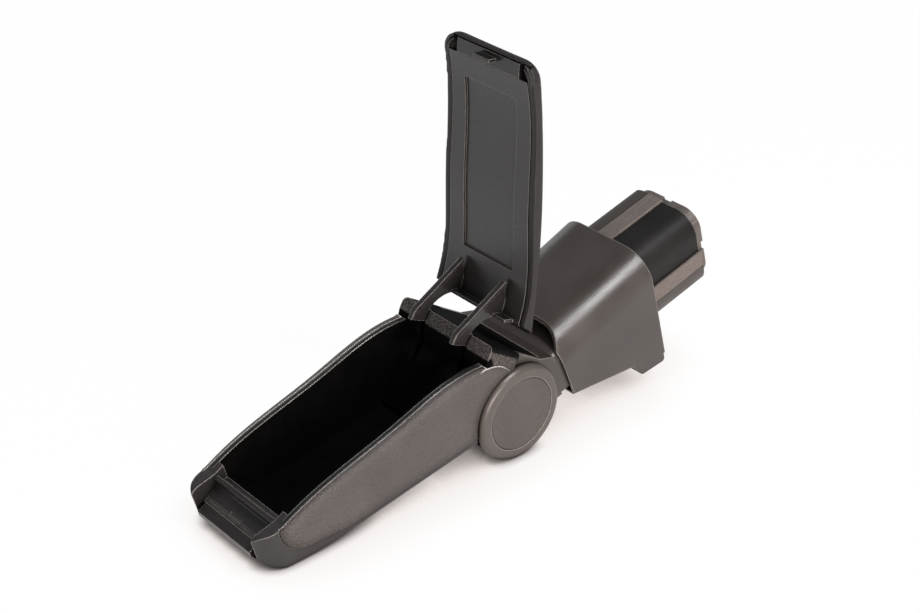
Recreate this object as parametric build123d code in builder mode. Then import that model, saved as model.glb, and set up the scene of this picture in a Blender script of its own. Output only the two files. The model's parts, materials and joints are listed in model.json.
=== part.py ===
from build123d import *
import os
from math import acos, asin, atan2, cos, degrees, hypot, radians, sin, sqrt, tan

# Car centre armrest, lying on its hinge discs and the nose of its storage bin.
# The bin and the console base stand in line, both pitched up towards the plug.
# Lengths are millimetres and angles are degrees.

# Overall
NOSE_REACH = 249.5
BIN_HALF_WIDTH = 53.8
PLUG_END_X = 230.0
LID_OPEN_ANGLE = 108.8

# Clearances
SHAFT_CLEARANCE = 0.05
RUNNING_GAP = 0.4
SEAT_GAP = 0.2

# Main hinge
DISC_RADIUS = 42.0
DISC_PROUD = 3.8
DISC_FACE_Y = BIN_HALF_WIDTH + DISC_PROUD
DISC_THICKNESS = 8.4
DISC_EDGE_ROUND = 5.0
DISC_BACK_ROUND = 3.0
INSERT_RADIUS = 32.0
INSERT_THICKNESS = 3.2
INSERT_GAP = 0.25
EAR_RADIUS = 38.6
EAR_THICKNESS = 4.4
EAR_OUTER_Y = DISC_FACE_Y - DISC_THICKNESS - SEAT_GAP
EAR_INNER_Y = EAR_OUTER_Y - EAR_THICKNESS
AXLE_RADIUS = 5.0
AXLE_HEAD_RADIUS = 9.0
AXLE_HEAD_HEIGHT = 2.6
AXLE_POCKET_RADIUS = 13.0
AXLE_POCKET_DEPTH = 4.4
WASHER_RADIUS = 17.0
WASHER_THICKNESS = 1.6

# Hinge housing of the bin
HOUSING_HALF_WIDTH = EAR_INNER_Y - RUNNING_GAP
BARREL_RADIUS = 45.4
BARREL_LOWER_RADIUS = 40.0
BARREL_BACK_ANGLE = -20.0
CHEEK_CLEAR_RADIUS = 44.5
CHEEK_ROUND = 5.0
SLOPE_POINT = (36.0, 27.7)
SLOPE_ANGLE = 47.5
STOP_TOP_X = 16.4
STOP_FOOT_ANGLE = 76.0
STOP_GAP = 0.4
FAIRING_KNEE = (-34.0, 44.0)
FAIRING_FOOT_X = -64.0
FAIRING_FOOT_HEIGHT = 7.0
HOUSING_WALL = 3.5
HOUSING_HUB_RADIUS = 10.0
HOUSING_RIB = 2.6
VENT_CENTRE = (-14.0, 26.0)
VENT_RADIUS = 7.0
WASHER_GAP = 0.3

# Lid pivot, seen from the side in the pitched frame
LID_PIVOT = (4.6, 52.4)
HOUSING_TOP_RADIUS = 26.6
LID_SWEEP_GAP = 0.6
LID_PIN_RADIUS = 2.5
LID_PIN_INSET = 8.2
LID_PIN_HALF_LENGTH = HOUSING_HALF_WIDTH - LID_PIN_INSET
LID_BOSS_RADIUS = 5.0
ARM_Y = 25.0
ARM_FLANGE_WIDTH = 4.8
ARM_WEB = 3.0
ARM_FLANGE_DEPTH = 3.0
ARM_SLOT_GAP = 0.8
ARM_REACH = 41.6
ARM_TIP_ANGLE = 249.0
ARM_LEG_ANGLE = 226.0
ARM_KNEE_ANGLE = 236.0
ARM_ROOT_DEPTH = 2.0
ARM_ROOT_X = -50.0
ARM_SLOT_MARGIN = 2.0

# Storage bin, with its front places measured from the nose
NOSE_X = -NOSE_REACH
BIN_NOSE_TAPER = 3.8
BIN_FRONT_HALF = BIN_HALF_WIDTH - BIN_NOSE_TAPER
CAVITY_HALF_WIDTH = HOUSING_HALF_WIDTH + SEAT_GAP
BIN_FLOOR = 3.0
BIN_EDGE_ROUND = 4.0
RIM_REAR = (-21.0, 63.7)
RIM_HUMP = (-42.0, 68.4)
RIM_MID = (-112.0, 66.5)
RIM_FALL = (NOSE_X + 49.5, 61.8)
RIM_FRONT = (NOSE_X + 26.5, 57.0)
NOSE_RADIUS = 28.0
NOSE_AXIS_HEIGHT = 44.857
NOSE_TOP = RIM_FRONT[1]
NOSE_TOP_ROUND = 10.0
NOSE_PLAN_ROUND = 22.0
BELLY_LENGTH = 57.0
BELLY_ANGLE = 4.8
CAVITY_FRONT_X = NOSE_X + 35.5
LINER_WALL = 2.4
LINER_RIM_DROP = 0.6
PANEL_SEAT_DEPTH = 1.0
PANEL_INNER_Y = BIN_FRONT_HALF - PANEL_SEAT_DEPTH
PANEL_PROUD = 2.0
PANEL_GAP = 0.3
PANEL_EDGE_ROUND = 1.8
PANEL_TOP_CORNER = 2.6
PANEL_LOWER_BAND = 7.5
PANEL_FRONT_X = NOSE_X + 21.5
PANEL_FRONT_ROUND = 26.0
CHEEK_SEAM_MID = (-8.0, 57.5)
CHEEK_SEAM_END = (0.5, 45.5)

# Latch in the nose
NOSE_BLOCK_WIDTH = 11.4
LATCH_RECESS_HALF = BIN_FRONT_HALF - NOSE_BLOCK_WIDTH
LATCH_RECESS_BACK = NOSE_X + 31.9
LATCH_RECESS_FLOOR = 35.0
LATCH_WALL_TOP = 46.5
LATCH_SIDE_GAP = 1.4
LATCH_HALF_WIDTH = LATCH_RECESS_HALF - LATCH_SIDE_GAP
LATCH_PLATE_INSET = 3.4
LATCH_PLATE_HALF = LATCH_HALF_WIDTH - LATCH_PLATE_INSET
LATCH_RAIL_BACK = NOSE_X + 27.9
LATCH_RAIL_TOP = 56.0
LATCH_RAIL_DEPTH = 3.6
LATCH_LEDGE = 48.0
LATCH_PLATE_BACK = NOSE_X + 9.1
LATCH_PLATE_TOP = 43.0
LATCH_PLATE_FRONT = NOSE_X + 0.5
LATCH_PLATE_THICKNESS = 3.0
LATCH_PLATE_FALL = 2.0
LATCH_EDGE_ROUND = 0.8
LATCH_AXIS = (NOSE_X + 16.5, 40.6)
LATCH_PIN_RADIUS = 1.75
LATCH_PIN_SEAT = 5.4
LATCH_PIN_HALF_LENGTH = LATCH_RECESS_HALF + LATCH_PIN_SEAT
LATCH_BOSS_RADIUS = 4.2
LATCH_GROOVE_WIDTH = 1.2
LATCH_GROOVE_STEP = 2.6
LATCH_GROOVES = 2
GRIP_DROP = 2.0
GRIP_THICKNESS = 3.0
GRIP_SCALLOPS = 4
GRIP_SCALLOP_RADIUS = 5.5
GRIP_SCALLOP_STEP = 15.0
GRIP_SCALLOP_DEPTH = 7.0
SPRING_RADIUS = 3.4
SPRING_HALF_LENGTH = 7.0

# Lid
LID_GAP = 0.7
LID_HALF_WIDTH = 54.4
LID_HEM = 6.6
LID_PANEL_THICKNESS = 4.4
LID_PAD_HEIGHT = 12.0
LID_PAD_ROUND = 6.0
LID_NOSE_HEIGHT = 9.5
LID_FRONT_X = NOSE_X + 11.7
LID_FRONT_HALF = 50.0
LID_CORNER_ROUND = 15.0
LID_PANEL_FRONT_X = RIM_FRONT[0] - 0.4
LID_REAR_LIP_ANGLE = 174.0
LID_REAR_LIP_THICKNESS = 2.4
LID_REAR_LIP_HALF = 40.0
LID_RECESS_X = (NOSE_X + 44.5, -59.0)
LID_RECESS_HALF = 29.0
LID_RECESS_DEPTH = 2.0
CATCH_INSET = 4.1
CATCH_HALF_WIDTH = LATCH_RECESS_HALF - CATCH_INSET
CATCH_FRONT_X = NOSE_X + 14.5
CATCH_HOOK_HALF = 9.0
CATCH_HOOK_X = NOSE_X + 20.5
CATCH_HOOK_THICKNESS = 2.6
CATCH_HOOK_DROP = 7.0

# Console base
SHROUD_WALL = 2.4
SHROUD_HINGE_X = 50.0
SHROUD_HINGE_HALF = EAR_OUTER_Y + RUNNING_GAP + SHROUD_WALL
SHROUD_HINGE_TOP = 34.5
SHROUD_HINGE_BOTTOM = -27.0
SHROUD_END_X = 162.0
SHROUD_FLARE = 0.8
SHROUD_END_HALF = SHROUD_HINGE_HALF + SHROUD_FLARE
SHROUD_END_TOP = 48.2
SHROUD_END_BOTTOM = -61.0
SHROUD_TOP_ROUND = 27.0
SHROUD_BOTTOM_ROUND = 4.0
SHROUD_MOUTH_X = 53.0
SHROUD_MOUTH_Z = 21.0
SHROUD_MOUTH_SLOPE = 37.0
SHROUD_MOUTH_UNDERCUT = 7.5
FOOT_LENGTH = 28.0
FOOT_DROP = 7.0
FOOT_ROUND = 2.5
NECK_TOP = 20.5
NECK_BOTTOM = -21.5
NECK_END_X = 92.0
NECK_WEB = 8.0
NECK_TOP_ROUND = 8.0

# Plug that is pushed into the console
FLANGE_X = 150.0
FLANGE_THICKNESS = 4.0
PLUG_HALF = 38.6
PLUG_CORNER = 20.5
PLUG_WALL = 2.4
STRIP_WIDTH = 30.0
STRIP_THICKNESS = 2.2
STRIP_EDGE_ROUND = 1.0
STRIP_START_X = 165.0
STRIP_OVERRUN = 1.0
STRIP_SHIFT = 13.0
COLLAR_LENGTH = 9.5
COLLAR_HALF = 35.0
COLLAR_NOTCH_WIDTH = 9.0
COLLAR_NOTCH_DEPTH = 2.5

# Fasteners
SCREW_RADIUS = 2.0
SCREW_HEAD_RADIUS = 3.8
SCREW_HEAD_HEIGHT = 2.0
SCREW_LENGTH = 9.0
HOUSING_SCREWS = [(-37.0, 33.0), (-52.0, 13.0)]


# Two places closer than this are the same place, when edges are picked for rounding
SAME = 0.01


def polar(centre, radius, angle):
    """Point at an angle and a radius from a centre, in a side view."""
    return (centre[0] + radius * cos(radians(angle)), centre[1] + radius * sin(radians(angle)))


# The part lies on its discs and the nose of its bin, and that sets the pitch of arm and base
NOSE_CENTRE = (NOSE_X + NOSE_RADIUS, NOSE_AXIS_HEIGHT)
NOSE_RISE = asin((DISC_RADIUS - NOSE_RADIUS) / hypot(*NOSE_CENTRE))
PITCH = degrees(atan2(NOSE_CENTRE[1], -NOSE_CENTRE[0]) + NOSE_RISE)

# Places that follow from the driving dimensions
REAR_REACH = (PLUG_END_X + COLLAR_LENGTH) * cos(radians(PITCH)) + COLLAR_HALF * sin(radians(PITCH))
NOSE_PLAN_STEP = LATCH_RECESS_HALF - BIN_FRONT_HALF + NOSE_PLAN_ROUND
NOSE_CUT = NOSE_PLAN_ROUND - sqrt(NOSE_PLAN_ROUND**2 - NOSE_PLAN_STEP**2)
NOSE_CUT_RISE = sqrt(NOSE_TOP_ROUND**2 - (NOSE_TOP_ROUND - NOSE_CUT) ** 2)
NOSE_TIP = (NOSE_CUT - NOSE_REACH, NOSE_TOP - NOSE_TOP_ROUND + NOSE_CUT_RISE)
FRONT_REACH = NOSE_TIP[1] * sin(radians(PITCH)) - NOSE_TIP[0] * cos(radians(PITCH))
HINGE_X = (FRONT_REACH - REAR_REACH) / 2
HINGE_Z = DISC_RADIUS

# The side view: local x runs along the arm to the plug, local y up, local z to the near side
ALONG = Vector(cos(radians(PITCH)), 0, sin(radians(PITCH)))
NEAR = Vector(0, -1, 0)
SIDE = Plane(origin=(HINGE_X, 0, HINGE_Z), x_dir=ALONG, z_dir=NEAR)

# The same side view turned about the lid pivot, so that the lid is drawn as if it were closed
LID_TURN = radians(-LID_OPEN_ANGLE)
LID_ORIGIN = (
    LID_PIVOT[0] - LID_PIVOT[0] * cos(LID_TURN) + LID_PIVOT[1] * sin(LID_TURN),
    LID_PIVOT[1] - LID_PIVOT[0] * sin(LID_TURN) - LID_PIVOT[1] * cos(LID_TURN),
)
LID_ALONG = SIDE.x_dir * cos(LID_TURN) + SIDE.y_dir * sin(LID_TURN)
LID_SIDE = Plane(origin=SIDE.from_local_coords((*LID_ORIGIN, 0)), x_dir=LID_ALONG, z_dir=NEAR)
BIN_PLAN = Plane(origin=SIDE.origin, x_dir=SIDE.x_dir, z_dir=SIDE.y_dir)
LID_PLAN = Plane(origin=LID_SIDE.origin, x_dir=LID_SIDE.x_dir, z_dir=LID_SIDE.y_dir)

# The belly starts where the nose touches the floor
TOUCH_ANGLE = 270.0 - PITCH
TOUCH = polar(NOSE_CENTRE, NOSE_RADIUS, TOUCH_ANGLE)
BELLY_END = polar(TOUCH, BELLY_LENGTH, -(PITCH + BELLY_ANGLE) / 2)
TAIL_X = -CHEEK_CLEAR_RADIUS * cos(radians(BELLY_ANGLE))
TAIL = (TAIL_X, BELLY_END[1] - (TAIL_X - BELLY_END[0]) * tan(radians(BELLY_ANGLE)))

# The flat slope behind the crest of the hinge housing
SLOPE_NORMAL = 90.0 - SLOPE_ANGLE
SLOPE_DIRECTION = Vector(cos(radians(SLOPE_NORMAL)), sin(radians(SLOPE_NORMAL)), 0)
SLOPE_OFFSET = SLOPE_POINT[0] * cos(radians(SLOPE_NORMAL)) + SLOPE_POINT[1] * sin(radians(SLOPE_NORMAL))
PIVOT_OFFSET = LID_PIVOT[0] * cos(radians(SLOPE_NORMAL)) + LID_PIVOT[1] * sin(radians(SLOPE_NORMAL))
CREST_ANGLE = SLOPE_NORMAL + degrees(acos((SLOPE_OFFSET - PIVOT_OFFSET) / HOUSING_TOP_RADIUS))
CREST = polar(LID_PIVOT, HOUSING_TOP_RADIUS, CREST_ANGLE)

# The sloped rear wall of the storage space, on the front of the hinge housing
FAIRING_FLOOR = TAIL[1] + BIN_FLOOR + SEAT_GAP + (TAIL[0] - FAIRING_FOOT_X) * tan(radians(BELLY_ANGLE))
FAIRING = [
    (FAIRING_FOOT_X, FAIRING_FLOOR),
    (FAIRING_FOOT_X, FAIRING_FLOOR + FAIRING_FOOT_HEIGHT),
    FAIRING_KNEE,
    (LID_PIVOT[0] - HOUSING_TOP_RADIUS, LID_PIVOT[1]),
]


def slope_at(along):
    """Point of the slope behind the crest at a place along the arm."""
    return (along, CREST[1] - (along - CREST[0]) * tan(radians(SLOPE_ANGLE)))


def section(along):
    """Plane across the base at a place along it: local x is the width, local y is up."""
    return Plane(origin=SIDE.from_local_coords((along, 0, 0)), x_dir=(0, 1, 0), z_dir=ALONG)


def finish(builder, label):
    """Names the finished piece and writes it."""
    builder.part.label = label
    export_step(builder.part, f"parts/{label}.step")


os.makedirs("parts", exist_ok=True)

# Side views that more than one piece shares


def rim_arc(raised=0.0):
    """Arched line of the bin's rim, from the rear to the front."""
    points = [(x, z + raised) for x, z in (RIM_REAR, RIM_HUMP, RIM_MID, RIM_FALL, RIM_FRONT)]
    return Spline(*points)


def bin_outline():
    """Side view of the bin: arched rim, blunt nose, long belly and the round seat of the discs."""
    with BuildLine() as outline:
        rim = rim_arc()
        nose_top = (-NOSE_REACH, NOSE_TOP)
        nose_start = (-NOSE_REACH, NOSE_CENTRE[1])
        FilletPolyline(rim @ 1, nose_top, nose_start, radius=NOSE_TOP_ROUND)
        CenterArc(NOSE_CENTRE, NOSE_RADIUS, 180, TOUCH_ANGLE - 180)
        belly = TangentArc(TOUCH, BELLY_END, tangent=(cos(radians(PITCH)), -sin(radians(PITCH))))
        Line(belly @ 1, TAIL)
        tail_angle = degrees(atan2(TAIL[1], TAIL[0])) % 360
        seat_radius = hypot(*TAIL)
        seat = CenterArc((0, 0), seat_radius, tail_angle, 90 - tail_angle)
        Polyline(seat @ 1, (0, RIM_REAR[1]), rim @ 0)
    return outline.edges()


def cavity_outline(inset, top):
    """Side view of the space in the bin, drawn in by an even amount from floor and front wall."""
    lift = BIN_FLOOR + inset
    floor_rear = (0.0, TAIL[1] + TAIL[0] * tan(radians(BELLY_ANGLE)) + lift)
    floor_front = (BELLY_END[0], BELLY_END[1] + lift)
    front_x = CAVITY_FRONT_X + inset
    front_low = (front_x, floor_front[1] + (floor_front[0] - front_x) * tan(radians(PITCH)))
    with BuildLine() as outline:
        Polyline((0, top), floor_rear, floor_front, front_low, (front_x, top), close=True)
    return outline.edges()


def cheek_outline():
    """Side view of the rear blocks, from the rim over the crest to the stop face of the yoke."""
    with BuildLine() as outline:
        rim_angle = degrees(atan2(RIM_REAR[1] - LID_PIVOT[1], RIM_REAR[0] - LID_PIVOT[0]))
        front = CenterArc(LID_PIVOT, HOUSING_TOP_RADIUS, CREST_ANGLE, rim_angle - CREST_ANGLE)
        seam = ThreePointArc(front @ 1, CHEEK_SEAM_MID, CHEEK_SEAM_END)
        low = polar((0, 0), CHEEK_CLEAR_RADIUS, STOP_FOOT_ANGLE)
        high = slope_at(STOP_TOP_X - STOP_GAP)
        Polyline(seam @ 1, (CHEEK_SEAM_END[0], low[1]), low, high, front @ 0)
    return outline.edges()


# Console base: shroud


def shroud_dims(along):
    """Half width, top and bottom of the shroud's outer skin at a place along it."""
    share = (along - SHROUD_HINGE_X) / (SHROUD_END_X - SHROUD_HINGE_X)
    pairs = (
        (SHROUD_HINGE_HALF, SHROUD_END_HALF),
        (SHROUD_HINGE_TOP, SHROUD_END_TOP),
        (SHROUD_HINGE_BOTTOM, SHROUD_END_BOTTOM),
    )
    return [first + share * (last - first) for first, last in pairs]


def shroud_section(along, inset):
    """Arched section of the shroud, drawn in by an even amount."""
    half, top, bottom = shroud_dims(along)
    with BuildSketch(section(along)) as face:
        with Locations((0, (top + bottom) / 2)):
            Rectangle(2 * (half - inset), top - bottom - 2 * inset)
        fillet(face.vertices().group_by(Axis.Y)[-1], SHROUD_TOP_ROUND - inset)
        fillet(face.vertices().group_by(Axis.Y)[0], SHROUD_BOTTOM_ROUND - inset)
    return face.sketch


foot_start = SHROUD_END_X - FOOT_LENGTH
foot_half, _, foot_top = shroud_dims(foot_start - FOOT_DROP)
foot_low = SHROUD_END_BOTTOM - FOOT_DROP

with BuildPart() as shroud_foot:
    with BuildSketch(SIDE):
        with BuildLine():
            FilletPolyline(
                (SHROUD_END_X, SHROUD_END_BOTTOM + 2 * SHROUD_BOTTOM_ROUND),
                (SHROUD_END_X, foot_low),
                (foot_start, foot_low + FOOT_DROP / 2),
                (foot_start - FOOT_DROP, foot_top + SHROUD_WALL),
                (foot_start - FOOT_DROP, foot_top + 2 * SHROUD_BOTTOM_ROUND),
                radius=[SHROUD_BOTTOM_ROUND, FOOT_DROP / 2, SHROUD_WALL],
            )
            Line((SHROUD_END_X, SHROUD_END_BOTTOM + 2 * SHROUD_BOTTOM_ROUND),
                 (foot_start - FOOT_DROP, foot_top + 2 * SHROUD_BOTTOM_ROUND))
        make_face()
    extrude(amount=foot_half, both=True)
    foot_edges = shroud_foot.edges().filter_by(
        lambda edge: abs(abs(edge.center().Y) - foot_half) < SAME
        and SIDE.to_local_coords(edge.center()).Y < SHROUD_END_BOTTOM)
    fillet(foot_edges, FOOT_ROUND)

with BuildPart() as base_shroud:
    loft(sections=[shroud_section(SHROUD_HINGE_X, 0), shroud_section(SHROUD_END_X, 0)], ruled=True)
    add(shroud_foot.part)
    loft(
        sections=[shroud_section(SHROUD_HINGE_X, SHROUD_WALL), shroud_section(SHROUD_END_X, SHROUD_WALL)],
        ruled=True,
        mode=Mode.SUBTRACT,
    )
    add(shroud_section(FLANGE_X, SHROUD_WALL / 2))
    extrude(amount=FLANGE_THICKNESS, dir=ALONG)
    with BuildSketch(section(FLANGE_X)):
        RectangleRounded(2 * (PLUG_HALF + SEAT_GAP), 2 * (PLUG_HALF + SEAT_GAP), PLUG_CORNER + SEAT_GAP)
    extrude(amount=FLANGE_THICKNESS, mode=Mode.SUBTRACT)
    mouth_high = SHROUD_END_TOP + SHROUD_WALL
    mouth_low = SHROUD_END_BOTTOM
    mouth_high_x = SHROUD_MOUTH_X + (mouth_high - SHROUD_MOUTH_Z) * tan(radians(SHROUD_MOUTH_SLOPE))
    mouth_low_x = SHROUD_MOUTH_X - (mouth_low - SHROUD_MOUTH_Z) * tan(radians(SHROUD_MOUTH_UNDERCUT))
    with BuildSketch(SIDE):
        with BuildLine():
            Polyline((0, mouth_high), (mouth_high_x, mouth_high), (SHROUD_MOUTH_X, SHROUD_MOUTH_Z),
                     (mouth_low_x, mouth_low), (0, mouth_low), close=True)
        make_face()
    extrude(amount=2 * SHROUD_END_HALF, both=True, mode=Mode.SUBTRACT)
finish(base_shroud, "base_shroud")

# Console base: plug with its grip strips and end collar

with BuildPart() as plug_core:
    with BuildSketch(section(FLANGE_X)):
        RectangleRounded(2 * PLUG_HALF, 2 * PLUG_HALF, PLUG_CORNER)
    extrude(amount=PLUG_END_X - FLANGE_X)
    with BuildSketch(section(FLANGE_X)):
        RectangleRounded(2 * (PLUG_HALF - PLUG_WALL), 2 * (PLUG_HALF - PLUG_WALL), PLUG_CORNER - PLUG_WALL)
    extrude(amount=PLUG_END_X - FLANGE_X - PLUG_WALL, mode=Mode.SUBTRACT)
finish(plug_core, "plug_core")

with BuildPart() as plug_collar:
    with BuildSketch(section(PLUG_END_X)):
        RectangleRounded(2 * COLLAR_HALF, 2 * COLLAR_HALF, PLUG_CORNER - PLUG_HALF + COLLAR_HALF)
        with PolarLocations(COLLAR_HALF, 4):
            Rectangle(2 * COLLAR_NOTCH_DEPTH, COLLAR_NOTCH_WIDTH, mode=Mode.SUBTRACT)
        corner_reach = (COLLAR_HALF - COLLAR_NOTCH_WIDTH) * 2 ** 0.5 + COLLAR_NOTCH_DEPTH
        with PolarLocations(corner_reach, 4, start_angle=45):
            Rectangle(2 * COLLAR_NOTCH_DEPTH, COLLAR_NOTCH_WIDTH, mode=Mode.SUBTRACT)
        Circle(COLLAR_HALF / 2, mode=Mode.SUBTRACT)
    extrude(amount=COLLAR_LENGTH)
finish(plug_collar, "plug_collar")

for label, turn, shift in (("strip_top", 90, -STRIP_SHIFT), ("strip_far", 0, STRIP_SHIFT),
                           ("strip_bottom", 270, -STRIP_SHIFT), ("strip_near", 180, STRIP_SHIFT)):
    with BuildPart() as grip_strip:
        strip_half = PLUG_HALF + STRIP_THICKNESS
        with BuildSketch(section(STRIP_START_X)):
            RectangleRounded(2 * strip_half, 2 * strip_half, PLUG_CORNER + STRIP_THICKNESS)
            RectangleRounded(2 * PLUG_HALF, 2 * PLUG_HALF, PLUG_CORNER, mode=Mode.SUBTRACT)
            with PolarLocations(PLUG_HALF, 1, start_angle=turn):
                with Locations((0, shift)):
                    Rectangle(2 * PLUG_CORNER, STRIP_WIDTH, mode=Mode.INTERSECT)
        extrude(amount=PLUG_END_X + STRIP_OVERRUN - STRIP_START_X)
        end_edges = grip_strip.faces().sort_by(SortBy.AREA)[-1].edges()
        fillet(end_edges, STRIP_EDGE_ROUND)
    finish(grip_strip, f"grip_{label}")

# Console base: yoke with its two ears and their stop faces

with BuildPart() as yoke:
    stop_high = slope_at(STOP_TOP_X)
    stop_low = polar((0, 0), EAR_RADIUS - RUNNING_GAP, STOP_FOOT_ANGLE)
    neck_front = SHROUD_MOUTH_X - NECK_WEB / 2
    with BuildSketch(SIDE):
        Circle(EAR_RADIUS)
        with BuildLine():
            Polyline((0, NECK_BOTTOM), (neck_front, NECK_BOTTOM), (neck_front, NECK_TOP), SLOPE_POINT,
                     stop_high, stop_low, (0, 0), close=True)
        make_face()
    extrude(amount=EAR_OUTER_Y, both=True)
    with BuildSketch(section(neck_front)) as neck:
        with Locations((0, (NECK_TOP + NECK_BOTTOM) / 2)):
            Rectangle(2 * EAR_OUTER_Y, NECK_TOP - NECK_BOTTOM)
        fillet(neck.vertices().group_by(Axis.Y)[-1], NECK_TOP_ROUND)
        fillet(neck.vertices().group_by(Axis.Y)[0], SHROUD_BOTTOM_ROUND)
    extrude(amount=NECK_END_X - neck_front)
    with BuildSketch(SIDE):
        Circle(BARREL_RADIUS + RUNNING_GAP)
        with BuildLine():
            room_end = SLOPE_POINT[0] + RUNNING_GAP
            Polyline((-DISC_RADIUS, 0), (room_end, 0), (room_end, 2 * DISC_RADIUS),
                     (-DISC_RADIUS, 2 * DISC_RADIUS), close=True)
        make_face()
    extrude(amount=EAR_INNER_Y, both=True, mode=Mode.SUBTRACT)
    hollow_front = BARREL_RADIUS + RUNNING_GAP + NECK_WEB
    hollow_top = NECK_TOP - NECK_WEB / 2
    hollow_bottom = NECK_BOTTOM + NECK_WEB / 2
    with BuildSketch(SIDE):
        with BuildLine():
            Polyline((hollow_front, hollow_bottom), (NECK_END_X, hollow_bottom), (NECK_END_X, hollow_top),
                     (hollow_front, hollow_top), close=True)
        make_face()
    extrude(amount=EAR_INNER_Y, both=True, mode=Mode.SUBTRACT)
    with BuildSketch(SIDE):
        Circle(AXLE_RADIUS + SHAFT_CLEARANCE)
    extrude(amount=EAR_OUTER_Y, both=True, mode=Mode.SUBTRACT)
finish(yoke, "yoke")

with BuildPart() as hinge_axle:
    with BuildSketch(SIDE):
        Circle(AXLE_RADIUS)
    extrude(amount=EAR_OUTER_Y + AXLE_HEAD_HEIGHT, both=True)
    with BuildSketch(SIDE.offset(EAR_OUTER_Y)):
        RegularPolygon(AXLE_HEAD_RADIUS, 6)
    extrude(amount=AXLE_HEAD_HEIGHT)
finish(hinge_axle, "hinge_axle")

with BuildPart() as axle_nut:
    with BuildSketch(SIDE.offset(-EAR_OUTER_Y)):
        RegularPolygon(AXLE_HEAD_RADIUS, 6)
        Circle(AXLE_RADIUS + SHAFT_CLEARANCE, mode=Mode.SUBTRACT)
    extrude(amount=-AXLE_HEAD_HEIGHT)
finish(axle_nut, "axle_nut")

for name, side in (("near", 1), ("far", -1)):
    with BuildPart() as friction_washer:
        with BuildSketch(SIDE.offset(side * EAR_INNER_Y)):
            Circle(WASHER_RADIUS)
            Circle(AXLE_RADIUS + SHAFT_CLEARANCE, mode=Mode.SUBTRACT)
        extrude(amount=-side * WASHER_THICKNESS)
    finish(friction_washer, f"friction_washer_{name}")

    inner_y = EAR_OUTER_Y + SEAT_GAP
    with BuildPart() as disc_rim:
        with BuildSketch(SIDE.offset(side * inner_y)):
            Circle(DISC_RADIUS)
        extrude(amount=side * (DISC_FACE_Y - inner_y))
        fillet(disc_rim.edges().group_by(Axis.Y)[-1 if side < 0 else 0], DISC_EDGE_ROUND)
        fillet(disc_rim.edges().group_by(Axis.Y)[0 if side < 0 else -1], DISC_BACK_ROUND)
        with BuildSketch(SIDE.offset(side * DISC_FACE_Y)):
            Circle(INSERT_RADIUS)
        extrude(amount=-side * INSERT_THICKNESS, mode=Mode.SUBTRACT)
        with BuildSketch(SIDE.offset(side * inner_y)):
            Circle(AXLE_POCKET_RADIUS)
        extrude(amount=side * AXLE_POCKET_DEPTH, mode=Mode.SUBTRACT)
        fillet(disc_rim.edges().filter_by(GeomType.CIRCLE).filter_by(
            lambda edge: abs(edge.radius - INSERT_RADIUS) < SAME).group_by(Axis.Y)[-1 if side < 0 else 0],
            INSERT_GAP)
    finish(disc_rim, f"disc_rim_{name}")

    with BuildPart() as disc_insert:
        with BuildSketch(SIDE.offset(side * DISC_FACE_Y)):
            Circle(INSERT_RADIUS - INSERT_GAP)
        extrude(amount=-side * INSERT_THICKNESS)
        fillet(disc_insert.edges().group_by(Axis.Y)[-1 if side < 0 else 0], 2 * INSERT_GAP)
    finish(disc_insert, f"disc_insert_{name}")

# Bin: tub with its nose, pockets for the side panels and the recess of the latch

def bin_plan(proud):
    """Plan of the bin, a little narrower at the nose, drawn out by an even amount."""
    rear = (DISC_RADIUS, BIN_HALF_WIDTH + proud)
    front = (-NOSE_REACH - proud, BIN_FRONT_HALF + proud)
    with BuildLine() as outline:
        FilletPolyline(rear, front, (front[0], -front[1]), (rear[0], -rear[1]), radius=NOSE_PLAN_ROUND)
        Line(rear, (rear[0], -rear[1]))
    return outline.edges()


def panel_outline():
    """Side view of a grained side panel, from the rim down to the seam above the belly."""
    rear_low = (TAIL[0], TAIL[1] + PANEL_LOWER_BAND)
    belly = (BELLY_END[0], BELLY_END[1] + PANEL_LOWER_BAND)
    front_low = (PANEL_FRONT_X, belly[1] + (belly[0] - PANEL_FRONT_X) * tan(radians(PITCH)))
    with BuildLine() as outline:
        rim = rim_arc()
        FilletPolyline(rim @ 1, (PANEL_FRONT_X, RIM_FRONT[1]), front_low, belly, rear_low,
                       radius=[PANEL_TOP_CORNER, PANEL_FRONT_ROUND, PANEL_FRONT_ROUND])
        seat_radius = hypot(*rear_low)
        seat_angle = degrees(atan2(rear_low[1], rear_low[0]))
        seat = CenterArc((0, 0), seat_radius, seat_angle, 90 - seat_angle)
        Polyline(seat @ 1, (0, RIM_REAR[1]), rim @ 0)
    return outline.edges()


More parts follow.
